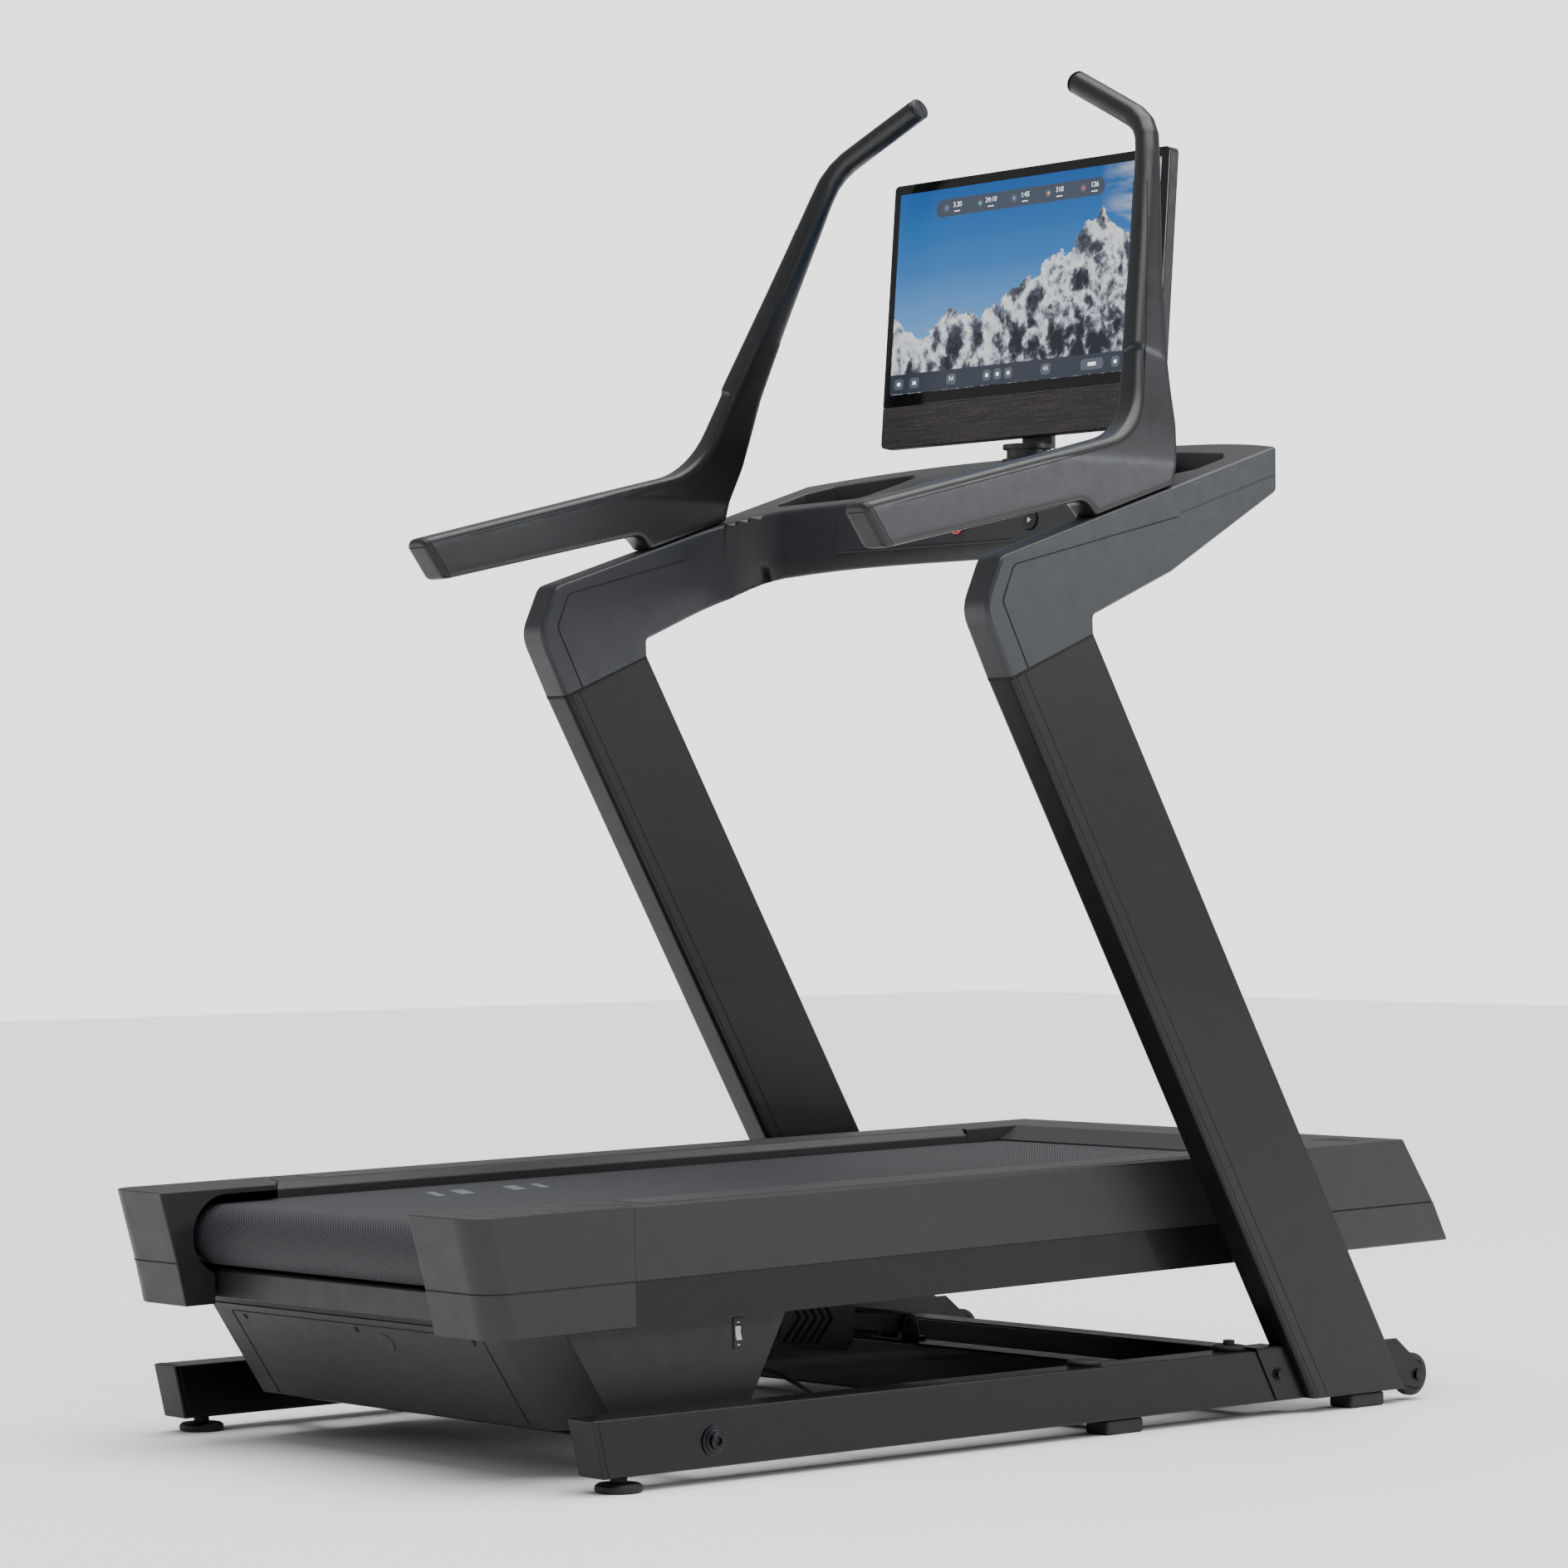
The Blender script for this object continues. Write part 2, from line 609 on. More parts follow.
def loose(name, bm):
    """A helper object from a bmesh."""
    mesh = bpy.data.meshes.new(name)
    bm.to_mesh(mesh)
    bm.free()
    return linked(name, mesh)


def combined(bm, others, operation):
    """The exact Boolean of a bmesh with others."""
    base = loose("boolean_base", bm)
    helpers = [loose("boolean_helper", other) for other in others]
    for helper in helpers:
        change = base.modifiers.new("boolean", "BOOLEAN")
        change.operation = operation
        change.object = helper
        change.solver = "EXACT"
    made = applied(base)
    for helper in helpers:
        bpy.data.objects.remove(helper)
    bmesh.ops.dissolve_limit(made, angle_limit=math.radians(0.3), verts=made.verts[:], edges=made.edges[:])
    return made


def melted(bm, voxel, passes):
    """One smooth skin over overlapping solids."""
    base = loose("melt", bm)
    change = base.modifiers.new("skin", "REMESH")
    change.mode = "VOXEL"
    change.voxel_size = voxel
    change.use_smooth_shade = True
    ease = base.modifiers.new("ease", "SMOOTH")
    ease.factor = 0.5
    ease.iterations = passes
    return applied(base)


def sides():
    """Yields (word, sign) for the right and left copies of a piece."""
    yield "right", 1
    yield "left", -1


def deck_box(node):
    """Lowest and highest corner of a node in the deck's own frame."""
    back = DECK.inverted()
    points = [back @ vert.co for vert in NODES[node].data.vertices]
    low = Vector([min(point[i] for point in points) for i in range(3)])
    high = Vector([max(point[i] for point in points) for i in range(3)])
    return low, high


def on_deck(bm):
    """Moves a bmesh made in the deck's frame into the row frame."""
    bm.transform(DECK)
    return bm


def deck_points(points):
    """Points of the deck's frame in the row frame."""
    return [DECK @ Vector(point) for point in points]


def flipped(bm, side):
    """The bmesh itself on the right, its mirror image on the left."""
    if side < 0:
        bmesh.ops.scale(bm, vec=(-1, 1, 1), verts=bm.verts[:])
        bmesh.ops.recalc_face_normals(bm, faces=bm.faces[:])
    return bm


def hexagon(centre, along, radius, height):
    """A hexagon bolt head with softened corners."""
    centre, along = Vector(centre), Vector(along).normalized()
    return soften(rod(centre, centre + along * height, radius, 6), radius * 0.10, 2, 50)


def post_rear(z):
    """y of an upright's rear edge at a height."""
    return POST_REAR_FOOT - (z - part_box("base_rail_right")[0].z) * math.tan(POST_LEAN)


def console_top(y):
    """Height of the console's top plane."""
    return ARM_REAR_HIGH[1] + TOP_SLOPE * (y - ARM_REAR_HIGH[0])


def console_under(y):
    """Height of the console's underside."""
    return ARM_UNDER_REAR[1] + UNDER_SLOPE * (y - ARM_UNDER_REAR[0])


# ---------------------------------------------------------------- base frame

def base_rails():
    """The long rails on the floor, with their slanted rear ends capped."""
    for word, _ in sides():
        low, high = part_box(f"base_rail_{word}")
        outline = [
            (low.y, high.z), (low.y + RAIL_SLANT, low.z), (post_rear(low.z) - 0.0005, low.z),
            (post_rear(high.z) - 0.0005, high.z)]
        bm = soften(prism(outline, low.x, high.x), 0.0026, 3)
        piece(f"rail_{word}", bm, STEEL, "base", [f"base_rail_{word}"])
        set_in, proud = 0.0085, 0.0001
        lines = []
        for face in (high.x + proud, low.x - proud):
            lines.append([(face, low.y + set_in, high.z - 0.002),
                (face, low.y + RAIL_SLANT + set_in, low.z + 0.002)])
        lines.append([(low.x + 0.002, low.y + set_in, high.z + proud),
            (high.x - 0.002, low.y + set_in, high.z + proud)])
        seam(f"rail_end_seam_{word}", lines, "base", 0.0006)


def base_tubes():
    """The two cross tubes."""
    for node in ("front_cross_tube", "mid_cross_tube"):
        low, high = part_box(node)
        piece(f"{node}_coated", soften(block(low, high), 0.0030, 3), STEEL, "base", [node])


def feet():
    """The rubber pads under the rails and the levelling feet at the rear."""
    for word, _ in sides():
        for node in (f"mid_foot_{word}", f"front_foot_{word}"):
            low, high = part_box(node)
            bm = soften(block(low, high), 0.0045, 3)
            piece(f"{node}_pad", bm, RUBBER, "base", [node])
        low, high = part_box(f"leveler_{word}")
        centre = Vector(((low.x + high.x) / 2, (low.y + high.y) / 2, 0.0))
        radius = (high.x - low.x) / 2
        profile = [
            (0.0, radius - 0.003), (0.0012, radius - 0.001), (0.004, radius), (0.008, radius - 0.0008),
            (0.0105, radius - 0.004), (0.0115, 0.0125), (0.0120, 0.0075), (high.z, 0.0075)]
        pad = turned(profile, centre, (0, 0, 1))
        nut = hexagon(centre + Vector((0, 0, 0.0118)), (0, 0, 1), 0.0115, 0.0060)
        piece(f"leveler_pad_{word}", merged(pad, nut), RUBBER, f"leveler_{word}",
            [f"leveler_{word}"])


def foot_plates():
    """The bent plate that ties each rail to its upright, with its bolt, and the stops on the rail's top."""
    for word, side in sides():
        low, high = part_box(f"base_rail_{word}")
        top, bottom = high.z + 0.0035, low.z + 0.0010
        outer = 0.0026
        outline = [
            (post_rear(top) - 0.0010, top), (0.4010, top), (0.4045, high.z - 0.006), (0.4420, bottom),
            (post_rear(bottom) - 0.0010, bottom)]
        face = high.x if side > 0 else low.x
        first, last = sorted((face, face + side * outer))
        plate = soften(prism(outline, first, last), 0.0010, 2)
        lid_low, lid_high = sorted((face + side * outer, face - side * 0.0400))
        lid = soften(block((lid_low, 0.4010, high.z + 0.0002), (lid_high, post_rear(top) - 0.001, top)),
            0.0010, 2)
        piece(f"foot_plate_{word}", merged(plate, lid), STEEL, "base")
        bolt = Vector((face + side * outer, 0.4442, 0.0575))
        head = merged(
            turned([(0, 0.0095), (0.0012, 0.0095), (0.0016, 0.0088)], bolt, (side, 0, 0)),
            hexagon(bolt, (side, 0, 0), 0.0074, 0.0058))
        piece(f"foot_plate_bolt_{word}", head, BOLT, "base")
        for number, (x, y, bolted) in enumerate(((0.4275, 0.4380, True), (0.4250, 0.1050, False))):
            disc = turned(
                [(0.0002, 0.0200), (0.0010, 0.0225), (0.0045, 0.0230), (0.0065, 0.0215), (0.0070, 0.0190)],
                (side * x, y - (0.055 if bolted else 0.0), high.z), (0, 0, 1))
            if bolted:
                disc = merged(
                    disc, hexagon((side * x, y - 0.055, high.z + 0.0068), (0, 0, 1), 0.0085, 0.0070))
            piece(f"rail_stop_{number + 1}_{word}", disc, RUBBER, "base")


def uprights():
    """The leaning tubes, the thin lines along them and the dark joint under the console's arm."""
    for word, _ in sides():
        node = f"upright_{word}"
        low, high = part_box(node)
        foot = low.z
        depth = high.y - post_rear(foot)
        outline = [
            (post_rear(foot), foot), (post_rear(foot) + depth, foot),
            (post_rear(JOINT_FRONT_Z) + depth, JOINT_FRONT_Z), (post_rear(JOINT_REAR_Z), JOINT_REAR_Z)]
        bm = prism(outline, low.x, high.x)
        bm = soften(bm, 0.0068, 4, 30, lambda edge: abs(edge.verts[0].co.z - edge.verts[1].co.z) > 0.5)
        bm = soften(bm, 0.0012, 2, 50)
        piece(f"post_{word}", bm, POST_COAT, "base", [node])
        lines = []
        for x in (low.x - 0.0001, high.x + 0.0001):
            for set_in in (0.0115, 0.0300):
                heights = (foot + 0.004, JOINT_REAR_Z + set_in * 0.30)
                lines.append([(x, post_rear(z) + set_in, z) for z in heights])
        seam(f"post_seam_{word}", lines, "base", 0.00045, STEEL)
        lean = Vector((0.0, -math.sin(POST_LEAN), math.cos(POST_LEAN)))
        rear = Vector((0, post_rear(JOINT_REAR_Z), JOINT_REAR_Z))
        front = Vector((0, post_rear(JOINT_FRONT_Z) + depth, JOINT_FRONT_Z))
        band = [rear - lean * 0.0042, front - lean * 0.0022, front + lean * 0.0004, rear + lean * 0.0004]
        shade = prism([(point.y, point.z) for point in band], low.x - 0.0002, high.x + 0.0002)
        for vert in shade.verts:
            vert.co.y += -0.0002 if vert.co.y < post_rear(vert.co.z) + 0.02 else 0.0002
        piece(f"post_joint_shadow_{word}", soften(shade, 0.0066, 3, 30, lambda edge: abs(
            edge.verts[0].co.x - edge.verts[1].co.x) < 0.001 and edge.calc_length() < 0.006),
            SEAM, "base")


def wheels():
    """The transport wheels with their brackets and bolts."""
    for word, side in sides():
        low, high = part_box(f"wheel_{word}")
        centre = (low + high) / 2
        half, radius = (high.x - low.x) / 2, (high.z - low.z) / 2
        profile = [
            (-half, 0.0062), (-half, 0.0100), (-half + 0.0018, 0.0105), (-half + 0.0018, radius * 0.66),
            (-half + 0.0002, radius * 0.70), (-half + 0.0004, radius - 0.0060),
            (-half + 0.0035, radius - 0.0008), (-half + 0.0065, radius),
            (half - 0.0065, radius), (half - 0.0035, radius - 0.0008),
            (half - 0.0004, radius - 0.0060), (half - 0.0002, radius * 0.70), (half - 0.0018, radius * 0.66),
            (half - 0.0018, 0.0105), (half, 0.0100), (half, 0.0062)]
        piece(
            f"transport_wheel_{word}", turned(profile, centre, (1, 0, 0), 48), RUBBER, f"wheel_{word}",
            [f"wheel_{word}"])
        refined(f"wheel_bracket_{word}", 0.0009, STEEL)
        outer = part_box(f"wheel_bracket_{word}")[1].x if side > 0 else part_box(f"wheel_bracket_{word}")[0].x
        bolt = Vector((outer - side * 0.0040, centre.y, centre.z))
        piece(f"wheel_bolt_{word}", hexagon(bolt, (side, 0, 0), 0.0085, 0.0038), BOLT, "base")


def refined(node, width, look, segments=2, angle=35.0, sharp=38, dissolve=0.4):
    """A copy of a CAD node's shape with softened edges."""
    source = NODES[node]
    bm = bmesh.new()
    bm.from_mesh(source.data)
    bmesh.ops.remove_doubles(bm, verts=bm.verts[:], dist=2e-5)
    bmesh.ops.dissolve_limit(bm, angle_limit=math.radians(dissolve), verts=bm.verts[:], edges=bm.edges[:])
    if width:
        soften(bm, width, segments, angle)
    return piece(f"{node}_finished", bm, look, source["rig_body"], [node], sharp)


def pivot_bolts():
    """The incline pivot's bolts, with stepped washers and a socket."""
    for word, side in sides():
        low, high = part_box(f"pivot_bolt_{word}")
        rail_low, rail_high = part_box(f"base_rail_{word}")
        face = rail_high.x if side > 0 else rail_low.x
        reach = abs((high.x if side > 0 else low.x) - face)
        centre = Vector((face + side * 0.0003, PIVOT.y, PIVOT.z))
        shaft = turned([(-0.055, 0.0078), (0.0005, 0.0078)], centre, (side, 0, 0), 24)
        washer = turned([
            (0.0, 0.0180), (0.0004, 0.0186), (0.0016, 0.0186), (0.0022, 0.0165), (0.0024, 0.0150),
            (0.0040, 0.0147), (0.0046, 0.0130), (0.0050, 0.0108), (reach - 0.0016, 0.0106),
            (reach - 0.0006, 0.0096), (reach - 0.0006, 0.0052), (reach - 0.0036, 0.0046),
            (reach - 0.0036, 0.0002)], centre, (side, 0, 0), 40)
        piece(f"pivot_bolt_head_{word}", merged(shaft, washer), BOLT, "base",
            [f"pivot_bolt_{word}"])


# ---------------------------------------------------------------- console

def console_plan():
    """Outline of the console from above, with smooth bow and fillets."""
    out_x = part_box("console_shell")[1].x
    in_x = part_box("upright_right")[0].x
    front = [out_x * (1 - 2 * i / 28) for i in range(29)]
    outline = [(out_x, -0.15)]
    outline += [(x, CONSOLE_SIDE_Y + CONSOLE_BOW * (1 - abs(x / out_x) ** 3)) for x in front]
    outline += [(-out_x, -0.15), (-in_x, -0.15)]
    half = []
    for i in range(9):
        t = i / 8
        start, corner, end = Vector((in_x, 0.165)), Vector((in_x, 0.245)), Vector((0.355, 0.2675))
        point = start * (1 - t) ** 2 + corner * 2 * t * (1 - t) + end * t ** 2
        half.append((point.x, point.y))
    half += [
        (x, PANEL_SIDE_Y + PANEL_BOW * (1 - abs(x / in_x) ** 3.5))
        for x in (0.30, 0.25, 0.20, 0.15, 0.10, 0.05)]
    left = [(-x, y) for x, y in half]
    return outline + left + [(0.0, PANEL_SIDE_Y + PANEL_BOW)] + list(reversed(half)) + [(in_x, -0.15)]


def console_side():
    """Outline of the console from the side."""
    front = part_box("console_shell")[1].y + 0.02
    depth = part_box("upright_right")[1].y - post_rear(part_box("upright_right")[0].z)
    return rounded([
        (post_rear(JOINT_REAR_Z), JOINT_REAR_Z + 0.0005, 0), (*ARM_REAR_LOW, 0.045), (*ARM_REAR_HIGH, 0.022),
        (front, console_top(front), 0), (front, console_under(front), 0), (*ARM_UNDER_REAR, 0.10),
        (*ARM_INNER_CORNER, 0.008), (post_rear(JOINT_FRONT_Z) + depth, JOINT_FRONT_Z + 0.0005, 0)], 0.0, 6)


def tray_outline(side, grow):
    """A tray's outline from above."""
    centre = Vector((0.33, 0.38))
    made = []
    for x, y in rounded(TRAY, 0.016, 6):
        offset = Vector((x, y)) - centre
        offset += offset.normalized() * grow
        made.append((side * (centre.x + offset.x), centre.y + offset.y))
    return made


def under_top(bm, low_drop, high_drop):
    """Sets a vertical block's lower and upper faces parallel to the console's top."""
    for vert in bm.verts:
        vert.co.z = console_top(vert.co.y) - (low_drop if vert.co.z < 0.5 else high_drop)
    return bm


def console():
    """The console's shell with its trays, the display's boss and the tray mats."""
    low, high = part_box("console_shell")
    plan = prism(console_plan(), 0.9, 1.6, "Z")
    datum = console_under(PANEL_SIDE_Y + PANEL_BOW)
    geom = plan.verts[:] + plan.edges[:] + plan.faces[:]
    bmesh.ops.bisect_plane(plan, geom=geom, plane_co=(0, 0, datum + LIP_H), plane_no=(0, 0, 1))
    for vert in plan.verts:
        share = min(max((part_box("upright_right")[0].x - abs(vert.co.x)) / 0.05, 0.0), 1.0)
        if 0.2 < vert.co.y < 0.36:
            rise = vert.co.z - datum
            lean = rise * math.tan(PANEL_LEAN) + max(LIP_H - rise, 0.0) * LIP_SET
            vert.co.y += lean * share * share * (3 - 2 * share)
    whole = combined(prism(console_side(), low.x - 0.01, high.x + 0.01), [plan], "INTERSECT")
    bmesh.ops.remove_doubles(whole, verts=whole.verts[:], dist=2e-4)
    joint = Vector((0, math.cos(POST_LEAN), math.sin(POST_LEAN)))

    def to_round(edge):
        """Leaves sharp the edges where each arm meets its upright."""
        first, second = edge.verts
        if max(first.co.z, second.co.z) < JOINT_FRONT_Z + 0.003 and abs(
                (first.co - second.co).normalized().dot(joint)) > 0.9:
            return False
        if abs(first.co.x - second.co.x) > 0.04 and min(first.co.z, second.co.z) < JOINT_FRONT_Z + 0.003:
            return False
        return True

    whole = soften(whole, 0.0065, 4, 24, to_round, False)
    wells = [
        under_top(prism(tray_outline(side, 0.0), 0.0, 1.0, "Z"), TRAY_DEPTH + 0.003, -0.02)
        for side in (1, -1)]
    whole = combined(whole, wells, "DIFFERENCE")

    def at_rim(edge):
        """The edges round the mouth of a tray."""
        return all(
            abs(vert.co.z - console_top(vert.co.y)) < 0.0006 and 0.22 < abs(vert.co.x) < 0.44 and
            0.30 < vert.co.y < 0.465 for vert in edge.verts)

    whole = soften(whole, 0.0030, 3, 50, at_rim)
    boss_at = Vector(JOINTS["display_swivel"]["pos_m"])
    boss = turned([
        (-0.040, 0.0370), (-0.0040, 0.0370), (-0.0012, 0.0362), (-0.0006, 0.0345)], boss_at, (0, 0, 1), 56)
    piece("console_body", merged(whole, boss), CHARCOAL, "base", ["console_shell"], 30)
    for word, side in sides():
        bm = under_top(prism(tray_outline(side, -0.0004), 0.0, 1.0, "Z"), TRAY_DEPTH + 0.0028, TRAY_DEPTH)
        piece(f"tray_mat_{word}", soften(bm, 0.0006, 2, 50), RUBBER, "base", [f"tray_liner_{word}"])
    console_lines(high)


def console_lines(high):
    """Grooves that follow the arm's outline on its outer and inner faces, and the front edge line."""
    inner_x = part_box("upright_right")[0].x
    groove = rounded([
        (-0.0440, 1.0100, 0), (-0.0900, 1.0960, 0.012), (-0.0690, 1.1440, 0.014), (0.2400, 1.2190, 0)],
        0.01, 6)
    inner_groove = rounded([
        (-0.0440, 1.0100, 0), (-0.0900, 1.0960, 0.012), (-0.0690, 1.1440, 0.014), (0.1500, 1.2000, 0)],
        0.01, 6)
    front_seam = []
    for i in range(29):
        x = high.x * (1 - 2 * i / 28)
        y = CONSOLE_SIDE_Y + CONSOLE_BOW * (1 - abs(x / high.x) ** 3)
        if abs(x) > high.x - 0.004:
            y -= 0.0075
        front_seam.append((x * 1.0002, y + 0.0002, console_top(y) - 0.0385))
    tails = [
        [(side * (high.x + 0.0001), y, console_top(y) - 0.0385) for y in (0.2450, CONSOLE_SIDE_Y - 0.0070)]
        for side in (1, -1)]
    seam("console_front_seam", [front_seam[1:-1], *tails], "base", 0.0006, BOLT)
    for word, side in sides():
        lines = [[(side * (high.x + 0.0001), y, z) for y, z in groove]]
        lines.append([(side * (inner_x - 0.0001), y, z) for y, z in inner_groove])
        seam(f"console_groove_{word}", lines, "base", 0.0009)


def panel():
    """Control panel, its raised border lines, buttons and the safety key."""
    refined("control_panel", 0.0016, CHARCOAL, 3, 40)
    for node, look, slot in (("start_button", DARK, "dark_plastic"), ("stop_button", RED, "red_plastic")):
        refined(node, 0.0010, look, 3, 50)
    out = Vector(JOINTS["safety_key_pull"]["axis"])
    low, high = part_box("safety_key")
    start = (low + high) / 2 - out * ((high.y - low.y) / 2 - 0.0012)
    knob = turned([
        (0.0, 0.0118), (0.0040, 0.0118), (0.0050, 0.0100), (0.0062, 0.0082), (0.0072, 0.0096),
        (0.0090, 0.0106),
        (0.0104, 0.0098), (0.0110, 0.0070), (0.0111, 0.0030)], start, out, 40)
    piece("safety_key_knob", knob, RED, "safety_key", ["safety_key"])
    panel_low, panel_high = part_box("control_panel")
    for name, body in (("start_mark", "start_button"), ("stop_mark", "stop_button")):
        b_low, b_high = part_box(body)
        centre = (b_low + b_high) / 2 + out * ((b_high.y - b_low.y) / 2 - 0.0011)
        turn = Matrix.Translation(centre) @ Matrix.Rotation(math.radians(90) - PANEL_LEAN, 4, "X")
        if body == "start_button":
            bm = prism([(-0.003, -0.004), (0.0045, 0.0), (-0.003, 0.004)], 0.0, 0.0004, "Z")
        else:
            bm = prism([(-0.0034, -0.0034), (0.0034, -0.0034), (0.0034, 0.0034), (-0.0034, 0.0034)], 0.0,
                0.0004, "Z")
        bm.transform(turn)
        piece(name, bm, LIGHT, body)
    middle = (panel_low + panel_high) / 2
    half_w, half_h = (panel_high.x - panel_low.x) / 2, 0.0280
    border = []
    for sign in (-1, 1):
        z = middle.z + sign * half_h * 0.86
        line = []
        for i in range(21):
            x = half_w * 0.965 * (1 - 2 * i / 20)
            bow = PANEL_BOW * abs(x / 0.43) ** 3.5
            y = PANEL_SIDE_Y + PANEL_BOW - bow + (z - console_under(
                PANEL_SIDE_Y + PANEL_BOW)) * math.tan(PANEL_LEAN) - 0.0044
            line.append((x, y, z))
        border.append(line)
    seam("panel_border", border, "base", 0.0006)


# ---------------------------------------------------------------- display

def display():
    """Housing, bezel glass, picture, speaker bar and the readings on the picture."""
    refined("display_stem", 0.0010, CHARCOAL, 2, 40, 30)
    glass_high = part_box("display_glass")[1]
    bar_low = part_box("speaker_bar")[0]
    half = glass_high.x
    height = (glass_high.z - bar_low.z) / math.cos(DISPLAY_LEAN)
    corner = Vector((0.0, bar_low.y, bar_low.z + 0.0002))
    plane = Matrix.Translation(corner) @ Matrix.Rotation(-DISPLAY_LEAN, 4, "X")

    def leaning(bm):
        """Moves a panel from upright to the display's own lean."""
        bm.transform(plane)
        return bm

    def face(outline, front, back):
        """A panel from an outline of (x, height) between two depths behind the glass."""
        return prism(outline, front, back, "Y")

    shell = rounded([(-half, 0.0), (half, 0.0), (half, height), (-half, height)], 0.0075, 6)
    body = soften(face(shell, 0.0034, DISPLAY_DEPTH - 0.010), 0.0012, 2, 50)
    back = rounded([
        (-half + 0.012, 0.012), (half - 0.012, 0.012), (half - 0.012, height - 0.012),
        (-half + 0.012, height - 0.012)], 0.02, 6)
    rear = soften(face(back, DISPLAY_DEPTH - 0.0115, DISPLAY_DEPTH), 0.0045, 3, 50)
    hump = soften(face(rounded([(-0.13, 0.030), (0.13, 0.030), (0.13, 0.235), (-0.13, 0.235)], 0.03, 6),
        DISPLAY_DEPTH - 0.001,
                       DISPLAY_DEPTH + 0.0022), 0.0018, 2, 50)
    pins = []
    tilt = Vector(JOINTS["display_tilt"]["pos_m"])
    for side in (1, -1):
        pin_at = tilt + Vector((side * 0.0375, 0, 0))
        pins.append(turned([(-0.006, 0.0112), (0.0055, 0.0112), (0.0065, 0.0102)], pin_at, (side, 0, 0), 28))
        first, last = sorted((side * 0.0312, side * 0.0432))
        pins.append(soften(block((first, tilt.y - 0.0155, tilt.z - 0.012), (last, tilt.y, tilt.z + 0.012)),
            0.002, 2))
    piece("display_shell", merged(leaning(body), leaning(rear), leaning(hump), *pins), DARK, "display",
        ["display_housing"])
    pane = rounded([
        (-half, SPEAKER_H + 0.0003, 0), (half, SPEAKER_H + 0.0003, 0), (half, height, 0.0075),
        (-half, height, 0.0075)], 0, 6)
    piece("display_pane", leaning(soften(face(pane, 0.0, 0.0032), 0.0007, 2, 50)), GLASS, "display",
        ["display_glass"])
    bar = rounded([
        (-half, 0.0, 0.0075), (half, 0.0, 0.0075), (half, SPEAKER_H, 0), (-half, SPEAKER_H, 0)], 0, 6)
    piece("display_speaker", leaning(soften(face(bar, 0.0, 0.0032), 0.0010, 2, 50)), SPEAKER, "display",
        ["speaker_bar"])
    vents = []
    for row in range(9):
        z = 0.275 + row * 0.009
        vents.append([plane @ Vector((x, DISPLAY_DEPTH + 0.0002, z)) for x in (-0.10, 0.10)])
    seam("display_vents", vents, "display", 0.0012)
    picture_piece(plane)


